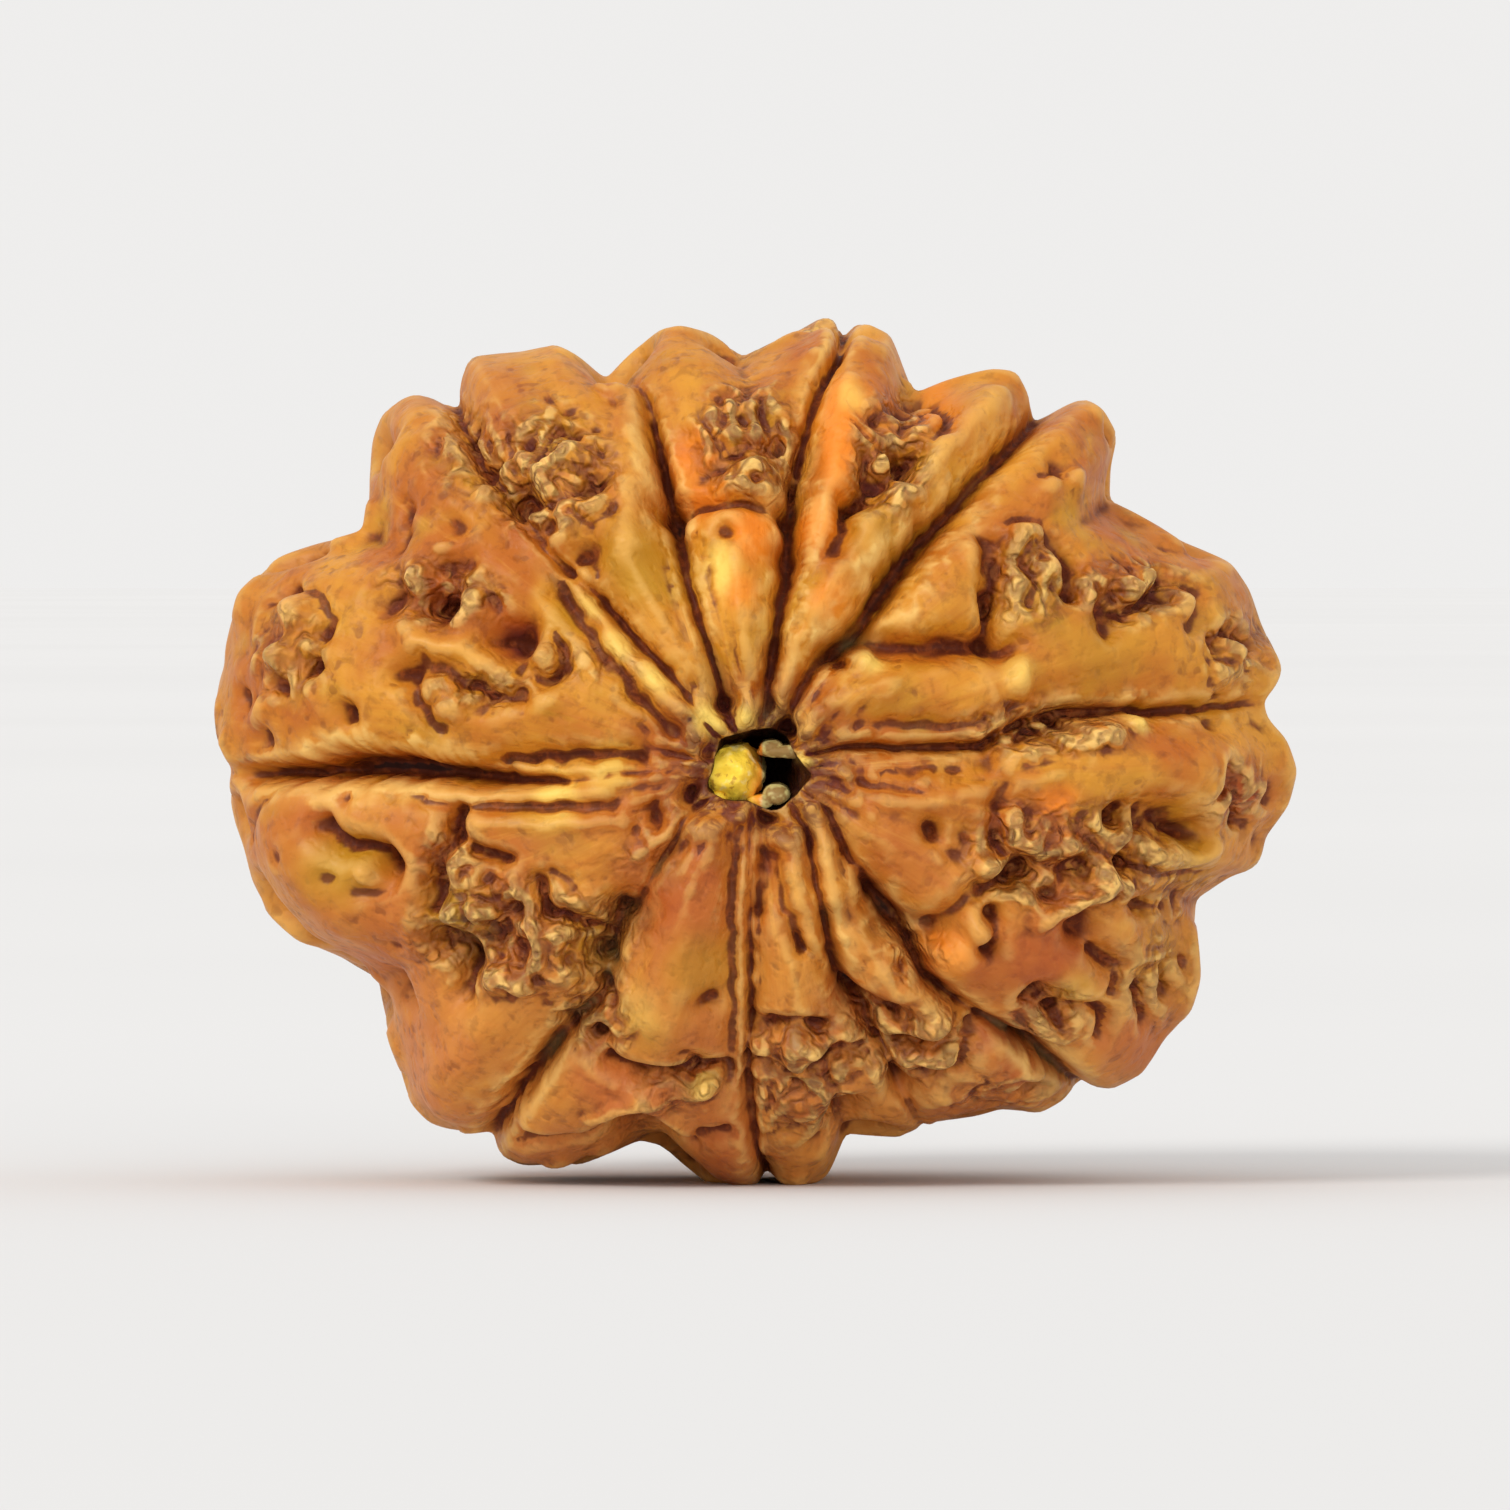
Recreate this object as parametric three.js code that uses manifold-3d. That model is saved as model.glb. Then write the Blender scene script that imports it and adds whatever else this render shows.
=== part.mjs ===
// Rudraksha bead: the woody stone of the fruit, standing on its rim. The thread canal runs along Y,
// the mouth faces -Y, X runs across the widest lobes and Z is up. Millimetres.
import * as THREE from "three";
import { mergeVertices } from "three/addons/utils/BufferGeometryUtils.js";
import Module from "manifold-3d";

// Driving dimensions of the body.
const WIDTH = 28; // across the widest lobes
const HALF_LENGTH = 9; // from the middle to either pole, along the canal
const FULLNESS = 0.82; // 1 gives an ellipsoid, less gives fuller shoulders
const ROUND_RADIUS = 0.45 * WIDTH; // the face's round middle, before its lobes part
const LOBES_PART = [0.08, 0.35]; // reaches between which the round middle turns into lobes
const NOTCHES = [0.72, 0.98]; // reaches between which the lobes' notches cut in
const CREST_SAMPLES = 8; // the crests' envelope averages this many rim samples to either side
const CREST_STEP = 0.03; // bearing between two of those samples
const CREST_RISE = 0.3; // how far the envelope stands above that average
const DIMPLE_DEPTH = 0.8; // how far the lobes sink towards a mouth
const DIMPLE_RADIUS = 2.4;

// The two mouths and the thread canal between them.
const MOUTH_LATITUDE = 0.045; // where the face turns in to the canal
const MOUTH_SQUASH = 0.24; // how much lower than wide the mouths are
const SQUASH_FADES = [1.3, 3.4]; // radii between which that squash fades out
const CANAL_RADIUS = 0.98;
const CANAL_LENGTH = 11.4; // between the far mouth's funnel and the near pole's plane
const FUNNEL_DEPTH = 2; // depth over which a mouth narrows to the canal
const CANAL_BEND = 2.1; // the canal bows to the left, so no light shows through it
const BOW_FULL = 1.5; // distance from the middle within which it is bowed fully
const BOW_ENDS = 5.5; // distance from the middle outside which it runs straight

// The dried pith left in the mouth: a rounded peg.
const STUB_RADIUS = 0.74;
const STUB_AT = [734, 769]; // plan x and y
const STUB_TIP = -7.75;
const STUB_ROOT = -4.9;
const STUB_TAPER = 1.4; // length over which the root widens to the full radius
const STUB_SIDES = 18;

// Main grooves: a broad valley with a narrow slit in its floor, both smaller where they start.
const GROOVES_GROW = [1.2, 6.5]; // radii between which a groove grows to its full size
const VALLEY_DEPTH = 0.85;
const VALLEY_WIDTH = 1.05;
const FIRST_VALLEY_DEPTH = 0.25;
const FIRST_VALLEY_WIDTH = 0.35;
const SLIT_SHARE = 0.8; // the slit's share of its traced depth
const FIRST_SLIT_SHARE = 0.5;
const FIRST_SLIT_WIDTH = 0.55;
const SLITS_FADE = [0.9, 1.0]; // reaches between which the slits run out towards the rim
const SLIT_FADE = 0.7; // how much of a slit's depth is gone at the rim
const FAR_OPEN = 0.85; // how open every groove is on the far side
const FAR_OPENS = [1.02, 1.3]; // latitudes between which it opens so

// Limits of the relief.
const DEEPEST = 2.3;
const HIGHEST = 0.6;
const PAST_RIM = 0.04; // how far relief may stand out past the rim's outline
const ROUNDING = 0.05; // how softly it is held there
const LEAST_OUTWARD = 0.15; // where the face looks less outward than this, nothing is held back

// Mesh.
const FRONT_STEP = 0.52; // spacing on the mouth side and over the rim
const BACK_STEP = 0.74;
const STEP_GROWS = [1.0, 1.45]; // latitudes between which the spacing grows
const WALK_STEP = 0.001; // latitude step in which the spacing is measured
const CROWDING = 0.3; // how much the points crowd towards the grooves
const FINEST = 0.27; // relief narrower than this is blunted to suit the mesh
const CHAIN_STEP = 40; // plan length between two points of a traced line
const GROOVE_STEP = 0.05; // latitude between two points of a main groove

// Plan of the mouth side, seen from the front: x to the right, y down, with the canal at PLAN_AXIS.
const PLAN_SPAN = 1077; // plan units across the widest lobes
const MM = WIDTH / PLAN_SPAN;
const PLAN_AXIS = [755, 765];
const FLOOR = 1181; // plan height of the small flat spot that the bead stands on

// The rim, clockwise from the notch at the left: crests, shoulders and notches of the lobes.
const RIM = [
  [234, 768], [219, 740], [216, 710], [224, 660], [233, 620], [240, 592], [280, 557], [340, 538],
  [365, 531], [369, 500], [371, 440], [380, 415], [400, 398], [415, 393], [430, 396], [459, 413],
  [460, 380], [470, 357], [520, 352], [555, 345], [580, 358], [605, 381], [632, 353], [660, 331],
  [680, 327], [710, 335], [742, 358], [770, 343], [800, 330], [826, 315], [838, 322], [842, 350],
  [848, 327], [865, 322], [890, 334], [904, 372], [913, 395], [940, 383], [990, 370], [1015, 373],
  [1025, 395], [1032, 426], [1050, 414], [1080, 398], [1100, 409], [1117, 440], [1110, 461],
  [1108, 502], [1140, 518], [1180, 542], [1228, 563], [1247, 590], [1258, 622], [1278, 668],
  [1272, 684], [1258, 700], [1263, 718], [1282, 738], [1293, 770], [1285, 803], [1262, 835],
  [1258, 855], [1250, 869], [1230, 873], [1194, 898], [1193, 930], [1197, 975], [1188, 1008],
  [1160, 1039], [1138, 1073], [1110, 1090], [1078, 1080], [1062, 1100], [1040, 1112], [1000, 1109],
  [960, 1120], [925, 1125], [900, 1134], [880, 1133], [844, 1130], [836, 1152], [826, 1174],
  [806, 1184], [782, 1182], [764, 1163], [757, 1184], [740, 1193], [710, 1184], [680, 1161],
  [660, 1143], [640, 1137], [620, 1145], [580, 1163], [520, 1166], [500, 1155], [494, 1128],
  [460, 1131], [430, 1121], [410, 1100], [398, 1062], [384, 1020], [377, 981], [340, 957],
  [300, 940], [268, 912], [250, 880], [240, 845], [229, 800],
];

// The ten main grooves, counter-clockwise from the right: width, depth, where the groove ends round the
// far mouth (degrees), and its line from the near mouth out to the rim, as x, y and how open it is there.
const GROOVES = [
  [0.4, 1.0, 5, [[812, 742, 0.5], [900, 745, 0.6], [985, 741, 0.5], [1005, 730, 0.2], [1022, 718, 0.35],
    [1060, 710, 0.8], [1100, 706, 0.9], [1170, 707, 0.7], [1220, 704, 0.4], [1258, 700, 0.3]]],
  [0.62, 1.3, 41, [[800, 672, 0.7], [840, 645, 1.0], [880, 592, 1.1], [915, 540, 1.1], [955, 500, 0.9],
    [985, 465, 0.6], [1032, 426, 0.5]]],
  [0.55, 1.2, 77, [[765, 690, 0.6], [775, 630, 0.8], [787, 570, 1.0], [790, 500, 1.1], [797, 455, 0.6],
    [812, 400, 0.5], [842, 350, 0.6]]],
  [0.4, 0.9, 113, [[725, 690, 0.5], [702, 630, 0.6], [684, 570, 0.7], [674, 520, 1.2], [655, 440, 0.9],
    [645, 395, 0.5], [638, 384, 0.15], [605, 381, 0.0]]],
  [0.5, 1.0, 149, [[690, 690, 0.5], [640, 642, 0.6], [602, 600, 0.6], [545, 545, 0.35], [500, 490, 0.3],
    [465, 440, 0.55], [459, 413, 0.4]]],
  [0.5, 1.3, 185, [[690, 765, 0.0], [600, 772, 0.1], [540, 776, 0.4], [500, 776, 0.7], [420, 767, 1.0],
    [340, 764, 1.0], [280, 770, 0.6], [234, 768, 0.4]]],
  [0.55, 1.1, 221, [[690, 818, 0.4], [650, 880, 0.25], [612, 932, 0.5], [600, 1000, 0.4], [562, 1030, 0.6],
    [512, 1092, 0.9], [494, 1128, 0.8]]],
  [0.45, 1.0, 257, [[750, 830, 0.4], [747, 900, 0.35], [748, 960, 0.45], [749, 1020, 0.45], [745, 1070, 0.6],
    [750, 1120, 0.6], [764, 1163, 0.5]]],
  [0.45, 1.0, 293, [[797, 822, 0.5], [818, 890, 0.6], [833, 960, 0.7], [862, 1012, 0.9], [898, 1075, 0.6],
    [910, 1105, 0.35], [922, 1125, 0.2]]],
  [0.5, 1.2, 329, [[812, 800, 0.3], [850, 858, 0.6], [895, 915, 1.1], [935, 985, 0.5], [990, 1024, 0.45],
    [1045, 1052, 1.0], [1078, 1080, 0.6]]],
];

// Relief of the mouth side between the grooves, each line as width, height and its points: raised
// ridges and plates have a height above 0, sunken seams and hollows one below it.
const SEAMS = [
  // left and upper left
  [0.3, -0.5, [[400, 672], [425, 662], [460, 673], [500, 690], [522, 690]]],
  [0.28, -0.45, [[412, 680], [420, 700], [440, 722]]],
  [0.28, -0.5, [[522, 668], [548, 680], [566, 664], [562, 642]]],
  [0.45, 0.35, [[425, 645], [470, 655], [515, 672], [545, 695]]],
  [0.3, 0.45, [[575, 572], [610, 628], [640, 664], [662, 690], [684, 702]]],
  [0.25, -0.45, [[556, 590], [580, 622], [605, 655], [640, 694], [676, 722]]],
  [0.25, -0.45, [[505, 755], [545, 750], [600, 750], [640, 756]]],
  [0.25, 0.35, [[450, 790], [520, 792], [604, 790]]],
  [0.25, -0.35, [[460, 802], [530, 804], [612, 803]]],
  [0.25, 0.35, [[470, 814], [540, 816], [625, 812]]],
  [0.45, 0.4, [[628, 400], [632, 470], [636, 540]]],
  [0.8, 0.35, [[622, 560], [650, 605], [672, 650]]],
  // top
  [0.3, -0.7, [[662, 500], [700, 497], [772, 497]]],
  [0.85, 0.45, [[728, 530], [735, 570], [742, 615]]],
  [0.22, 0.3, [[692, 565], [704, 605], [726, 655]]],
  [0.55, 0.45, [[842, 385], [834, 440], [826, 490], [812, 530]]],
  [0.85, 0.4, [[802, 610], [836, 578], [868, 545]]],
  [0.32, -0.55, [[850, 500], [846, 528], [834, 547]]],
  [0.38, -0.85, [[850, 497], [875, 484], [898, 468], [915, 450]]],
  [0.6, 0.4, [[900, 490], [945, 446], [992, 400]]],
  [0.28, -0.4, [[920, 404], [936, 399], [949, 412], [940, 429]]],
  // right
  [0.45, -0.95, [[868, 640], [910, 644], [960, 641], [1004, 652]]],
  [0.8, 0.4, [[895, 615], [935, 585], [962, 553]]],
  [0.3, -0.55, [[986, 540], [984, 568], [994, 602], [984, 632]]],
  [0.3, 0.4, [[1004, 556], [1014, 535], [1034, 531], [1046, 547]]],
  [0.3, -0.6, [[1048, 545], [1068, 560], [1068, 592]]],
  [0.3, -0.6, [[1104, 602], [1126, 609], [1150, 594], [1162, 574]]],
  [0.28, -0.45, [[1164, 592], [1178, 580], [1196, 590], [1200, 608], [1186, 622]]],
  [0.25, 0.35, [[845, 700], [862, 688], [884, 684]]],
  [0.9, 0.35, [[850, 695], [920, 690], [980, 700]]],
  [0.25, -0.45, [[1000, 733], [1030, 728], [1072, 724]]],
  [0.25, 0.4, [[1000, 757], [1040, 742], [1080, 735], [1115, 728]]],
  [0.4, 0.3, [[850, 795], [930, 795], [1000, 780], [1045, 770]]],
  [0.9, 0.45, [[1090, 757], [1150, 757], [1205, 768]]],
  [0.45, -1.0, [[1142, 812], [1170, 816], [1192, 830]]],
  [0.35, 0.35, [[1146, 846], [1178, 856], [1206, 846]]],
  [0.25, -0.4, [[1232, 775], [1236, 800], [1244, 822]]],
  // lower right
  [0.8, 0.3, [[870, 835], [910, 870], [935, 890]]],
  [0.42, -0.95, [[872, 895], [900, 922], [928, 926]]],
  [0.3, -0.55, [[938, 918], [960, 892], [982, 878], [1006, 872], [1022, 856]]],
  [0.28, -0.4, [[996, 790], [994, 830], [1000, 855]]],
  [0.3, 0.4, [[1014, 830], [1036, 850], [1060, 846], [1086, 866], [1116, 882]]],
  [0.3, 0.4, [[985, 866], [1005, 862], [1022, 844]]],
  [0.3, 0.45, [[1034, 911], [1060, 903], [1088, 893]]],
  [0.28, 0.4, [[1092, 822], [1112, 836], [1130, 814]]],
  [0.3, -0.5, [[1012, 868], [1040, 868], [1064, 858]]],
  [0.28, -0.5, [[924, 948], [928, 975], [950, 1000], [966, 1022]]],
  [0.4, -0.75, [[850, 1004], [874, 1010], [906, 1018]]],
  [0.32, -0.8, [[912, 1050], [936, 1048], [958, 1043]]],
  [0.6, 0.4, [[880, 975], [918, 1000], [940, 1022]]],
  [0.28, 0.35, [[915, 1063], [950, 1060], [968, 1040]]],
  [0.3, -0.55, [[930, 1076], [960, 1064], [978, 1038]]],
  [0.45, 0.35, [[815, 862], [832, 905], [846, 950]]],
  [0.3, -0.45, [[1084, 1008], [1106, 1014], [1103, 1034]]],
  [0.26, -0.5, [[1139, 984], [1147, 1014]]],
  [0.28, -0.5, [[1164, 964], [1168, 994]]],
  // bottom
  [0.25, -0.4, [[764, 830], [764, 870], [761, 905]]],
  [0.28, 0.35, [[786, 868], [800, 900], [814, 936]]],
  [0.28, -0.45, [[776, 862], [782, 896], [800, 944]]],
  [0.28, -0.45, [[764, 1032], [798, 1026], [824, 1030]]],
  [0.28, -0.5, [[832, 1056], [860, 1056]]],
  [0.3, -0.65, [[608, 1062], [636, 1072], [688, 1077]]],
  [0.3, 0.4, [[598, 1112], [620, 1098], [646, 1092], [668, 1106], [690, 1128]]],
  [0.25, -0.4, [[684, 1050], [700, 1068], [722, 1076]]],
  [0.28, -0.4, [[680, 1126], [704, 1134], [724, 1134]]],
  [0.28, -0.35, [[520, 1133], [548, 1140], [574, 1136]]],
  [0.8, 0.35, [[696, 870], [680, 940], [664, 1010]]],
  // lower left
  [1.3, 0.55, [[300, 850], [345, 905]]],
  [0.34, -0.8, [[325, 825], [335, 835], [350, 842], [380, 846], [392, 862]]],
  [0.32, -0.65, [[453, 806], [450, 836], [440, 856], [432, 900]]],
  [0.28, -0.5, [[456, 838], [482, 850], [506, 856]]],
  [0.28, -0.6, [[542, 880], [548, 906], [576, 918], [602, 936], [620, 904]]],
  [0.3, 0.45, [[524, 896], [536, 916], [541, 946], [528, 976]]],
  [0.9, 0.3, [[480, 1030], [455, 1070], [450, 1100]]],
  [0.32, 0.3, [[640, 852], [664, 832], [684, 818]]],
];

// Nubs and pits of the mouth side: plan x, plan y, radius, height (a pit's is below 0).
const SPOTS = [
  // round the mouth
  [700, 704, 0.3, 0.4], [742, 702, 0.26, 0.4], [786, 714, 0.28, -0.45], [696, 798, 0.28, -0.5],
  [812, 752, 0.28, 0.4], [686, 724, 0.28, 0.35], [742, 824, 0.28, 0.35], [706, 832, 0.32, 0.35],
  [768, 826, 0.26, -0.4], [816, 706, 0.28, 0.3], [722, 686, 0.26, -0.4], [770, 692, 0.26, -0.35],
  // left and upper left
  [305, 608, 0.6, 0.35], [312, 660, 0.4, -0.5], [245, 700, 0.35, -0.4], [283, 686, 0.32, -0.5],
  [262, 736, 0.36, -0.4], [345, 710, 0.38, -0.55], [286, 655, 0.35, 0.3], [265, 708, 0.35, 0.3],
  [325, 628, 0.3, -0.35], [290, 590, 0.3, -0.3], [456, 707, 0.38, 0.4], [486, 702, 0.35, -0.35],
  [440, 602, 0.62, -1.05], [516, 634, 0.75, -1.15], [392, 600, 0.45, -0.5], [418, 578, 0.35, 0.35],
  [414, 624, 0.36, 0.35], [468, 604, 0.4, 0.4], [545, 654, 0.4, 0.45], [492, 594, 0.4, -0.45],
  [644, 733, 0.36, -0.3], [390, 437, 0.38, -0.45], [408, 506, 0.38, -0.45], [404, 536, 0.4, -0.45],
  [456, 526, 0.4, -0.4], [445, 562, 0.42, -0.6], [470, 560, 0.35, -0.4], [447, 548, 0.3, 0.3],
  [512, 488, 0.5, -0.95], [565, 430, 0.4, -0.5], [590, 485, 0.42, -0.6], [544, 520, 0.4, -0.5],
  [462, 428, 0.4, -0.5], [475, 457, 0.4, -0.4], [530, 440, 0.36, -0.4], [545, 475, 0.4, 0.45],
  [595, 505, 0.4, 0.45], [556, 534, 0.4, 0.4], [610, 403, 0.4, 0.45], [570, 447, 0.36, 0.35],
  [480, 487, 0.36, 0.3], [520, 466, 0.36, 0.3], [578, 575, 0.36, 0.4], [586, 550, 0.42, -0.5],
  // top
  [668, 497, 0.45, -0.6], [710, 466, 0.6, -0.5], [757, 465, 0.36, 0.4], [744, 482, 0.3, 0.35],
  [766, 486, 0.36, 0.4], [795, 460, 0.4, -0.5], [735, 444, 0.4, -0.45], [775, 430, 0.38, -0.45],
  [750, 414, 0.38, -0.4], [728, 533, 0.32, -0.35], [870, 470, 0.5, -0.8], [900, 450, 0.4, -0.6],
  [866, 476, 0.3, 0.5], [889, 456, 0.3, 0.45], [880, 425, 0.4, -0.4], [858, 655, 0.32, 0.5],
  [838, 655, 0.36, -0.6], [1070, 483, 0.42, 0.35], [1044, 490, 0.36, 0.3], [1057, 468, 0.36, -0.35],
  // right
  [998, 560, 0.32, -0.5], [990, 602, 0.32, -0.55], [1054, 572, 0.4, 0.4], [1126, 590, 0.36, 0.45],
  [1145, 575, 0.36, 0.4], [1107, 622, 0.38, -0.6], [1180, 601, 0.38, 0.35], [1217, 647, 0.32, -0.5],
  [1230, 630, 0.32, -0.4], [1246, 640, 0.32, -0.4], [1232, 652, 0.36, 0.35], [1217, 670, 0.4, 0.4],
  [1226, 692, 0.32, -0.45], [1012, 664, 0.42, 0.45], [1017, 683, 0.36, 0.35], [1140, 718, 0.32, 0.45],
  [1221, 768, 0.3, -0.5], [1222, 786, 0.3, -0.5], [1268, 790, 0.34, -0.4], [1212, 718, 0.4, -0.4],
  // lower right
  [930, 826, 0.34, -0.4], [962, 832, 0.34, -0.25], [948, 856, 0.36, -0.3], [1006, 813, 0.38, 0.4],
  [1116, 812, 0.42, -0.8], [1123, 858, 0.4, -0.6], [1020, 858, 0.4, -0.55], [1080, 862, 0.36, -0.6],
  [1045, 874, 0.36, 0.35], [1090, 876, 0.36, 0.4], [1045, 887, 0.36, -0.45], [1082, 921, 0.6, -0.9],
  [988, 910, 0.34, -0.6], [974, 922, 0.4, 0.45], [984, 946, 0.36, -0.5], [956, 954, 0.6, 0.3],
  [1042, 992, 0.45, -0.75], [1060, 1013, 0.48, -0.8], [1045, 1050, 0.5, -0.6], [1030, 1090, 0.36, -0.65],
  [1112, 962, 0.48, -0.45], [1096, 950, 0.36, -0.5], [1142, 906, 0.36, -0.4], [1115, 990, 0.32, -0.4],
  [908, 1091, 0.44, -0.75], [936, 1092, 0.5, 0.35], [888, 1070, 0.36, 0.35], [990, 1036, 0.36, -0.45],
  // bottom
  [707, 997, 0.36, -0.35], [634, 1118, 0.72, -1.0], [590, 1040, 0.38, -0.5], [712, 1086, 0.4, 0.4],
  [795, 1052, 0.48, 0.35], [812, 1071, 0.5, -0.6], [790, 1094, 0.4, -0.4], [768, 1066, 0.32, -0.4],
  [836, 1108, 0.62, -0.85], [815, 1145, 0.4, -0.4], [757, 1060, 0.28, 0.4], [793, 1132, 0.32, -0.35],
  // lower left
  [465, 946, 0.62, -1.1], [440, 936, 0.42, -0.8], [464, 968, 0.42, -0.7], [461, 992, 0.5, -0.5],
  [520, 902, 0.34, -0.6], [500, 932, 0.48, -0.6], [590, 950, 0.5, -0.8], [460, 909, 0.5, 0.45],
  [490, 908, 0.4, 0.45], [566, 930, 0.4, 0.45], [500, 970, 0.48, 0.4], [530, 980, 0.36, 0.35],
  [632, 905, 0.6, -0.5], [405, 990, 0.55, -0.6], [386, 857, 0.34, -0.5],
];

// The rim's outer face and the far side: scattered pits and short winding ridges.
const SIDE_PITS = 150;
const SIDE_RIDGES = 150;
const SIDE_COSINES = [0.2, -0.985]; // from just before the rim to just short of the far pole
const SIDE_LATITUDES = [0.87, 1.94];
const SIDE_STEP = 0.9; // length between two points of a winding ridge
const SIDE_CLIMB = 0.05; // the same as a step in latitude
const SIDE_WINDING = 1.6; // most that the heading turns at a point, both ways together
const SIDE_LEAST_RADIUS = 2;
const RIDGE_POINTS = 4;
const PIT_SPREAD = 1.6; // above 1, some pits are two points long
const RIDGE_WIDTH = [0.36, 0.61];
const PIT_WIDTH = [0.44, 0.69];
const RIDGE_HEIGHT = [0.35, 0.65];
const PIT_HEIGHT = [-0.5, -1.1];
const SEED = 10601;
const DICE_FACTOR = 16807;
const DICE_SPAN = 2147483647;

const clamp = (v, low, high) => Math.min(Math.max(v, low), high);
const mix = (a, b, k) => a + (b - a) * k;
const ramp = ([low, high], v) => {
  const k = clamp((v - low) / (high - low), 0, 1);
  return k * k * (3 - 2 * k);
};

// A repeatable row of numbers from 0 to 1.
function dice(seed) {
  let state = seed;
  return () => {
    state = (state * DICE_FACTOR) % DICE_SPAN;
    return state / DICE_SPAN;
  };
}

// Plan point to bearing and radius round the canal.
function toPolar([x, y]) {
  const across = (x - PLAN_AXIS[0]) * MM;
  const up = (PLAN_AXIS[1] - y) * MM;
  return { bearing: Math.atan2(up, across), radius: Math.hypot(across, up) };
}

const rimPoints = RIM.map(toPolar).sort((a, b) => a.bearing - b.bearing);

// Radius of the rim at a bearing, with its notches.
function rimRadius(bearing) {
  const turn = 2 * Math.PI;
  const wrapped = bearing - turn * Math.floor((bearing + Math.PI) / turn);
  const found = rimPoints.findIndex((p) => p.bearing > wrapped);
  const next = Math.max(found, 0);
  const after = rimPoints[next];
  const before = rimPoints[(next + rimPoints.length - 1) % rimPoints.length];
  let gap = after.bearing - before.bearing;
  let part = wrapped - before.bearing;
  if (gap <= 0) gap += turn;
  if (part < 0) part += turn;
  return mix(before.radius, after.radius, part / gap);
}

// Radius of the plain envelope that the lobes' crests reach.
function crestRadius(bearing) {
  let sum = 0;
  for (let k = -CREST_SAMPLES; k <= CREST_SAMPLES; k++) sum += rimRadius(bearing + k * CREST_STEP);
  return sum / (2 * CREST_SAMPLES + 1) + CREST_RISE;
}

// Radius of the plan outline at a given reach, 0 at the canal and 1 at the rim.
function planRadius(bearing, reach) {
  const round = mix(ROUND_RADIUS, crestRadius(bearing), ramp(LOBES_PART, reach));
  return mix(round, rimRadius(bearing), ramp(NOTCHES, reach));
}

// Latitude is 0 at the near pole, 1 at the rim and 2 at the far pole.
function reachAt(latitude) {
  return Math.pow(Math.max(Math.sin((latitude * Math.PI) / 2), 0), FULLNESS);
}

// Point of the plain body, before grooves and relief.
function bodyPoint(bearing, latitude) {
  const reach = reachAt(latitude);
  const along = Math.pow(Math.abs(Math.cos((latitude * Math.PI) / 2)), FULLNESS);
  const radius = reach * planRadius(bearing, reach);
  const sunk = DIMPLE_DEPTH * Math.exp(-Math.pow(radius / DIMPLE_RADIUS, 2));
  const side = latitude < 1 ? -1 : 1;
  const y = side * (HALF_LENGTH * along - sunk);
  return new THREE.Vector3(radius * Math.cos(bearing), y, radius * Math.sin(bearing));
}

// Outward direction of the plain body.
function bodyNormal(bearing, latitude) {
  const turn = (latitude * Math.PI) / 2;
  const power = 2 - FULLNESS;
  const out = Math.pow(Math.max(Math.sin(turn), 0), power) / ROUND_RADIUS;
  const along = Math.pow(Math.abs(Math.cos(turn)), power) / HALF_LENGTH;
  const side = latitude < 1 ? -1 : 1;
  return new THREE.Vector3(out * Math.cos(bearing), side * along, out * Math.sin(bearing)).normalize();
}

// Plan point to bearing and latitude on the mouth side.
function onFace(point) {
  const { bearing, radius } = toPolar(point);
  const rounds = 6; // enough for the reach to settle
  let reach = Math.min(radius / crestRadius(bearing), 1);
  for (let k = 0; k < rounds; k++) reach = clamp(radius / planRadius(bearing, reach), 0, 1);
  return { bearing, latitude: (Math.asin(Math.pow(reach, 1 / FULLNESS)) * 2) / Math.PI };
}

// A chain of points with the ball that holds it, so that far points are passed over quickly.
function makeChain(points) {
  const middle = new THREE.Vector3();
  points.forEach((p) => middle.addScaledVector(p, 1 / points.length));
  return { points, middle, ball: Math.max(...points.map((p) => p.distanceTo(middle))) };
}

// Plan line to a chain of points on the plain body, close enough to follow its curve.
function chainOnFace(line) {
  const points = [];
  line.forEach((point, i) => {
    const [x0, y0] = line[Math.max(i - 1, 0)];
    const pieces = i === 0 ? 1 : Math.ceil(Math.hypot(point[0] - x0, point[1] - y0) / CHAIN_STEP);
    for (let k = 1; k <= pieces; k++) {
      const at = onFace([mix(x0, point[0], k / pieces), mix(y0, point[1], k / pieces)]);
      points.push(bodyPoint(at.bearing, at.latitude));
    }
  });
  return makeChain(points);
}

function distanceToChain(p, { points }) {
  if (points.length === 1) return p.distanceTo(points[0]);
  const step = new THREE.Vector3();
  const off = new THREE.Vector3();
  let best = Infinity;
  for (let i = 1; i < points.length; i++) {
    step.subVectors(points[i], points[i - 1]);
    off.subVectors(p, points[i - 1]);
    const k = clamp(off.dot(step) / step.lengthSq(), 0, 1);
    best = Math.min(best, off.addScaledVector(step, -k).lengthSq());
  }
  return Math.sqrt(best);
}

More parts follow.
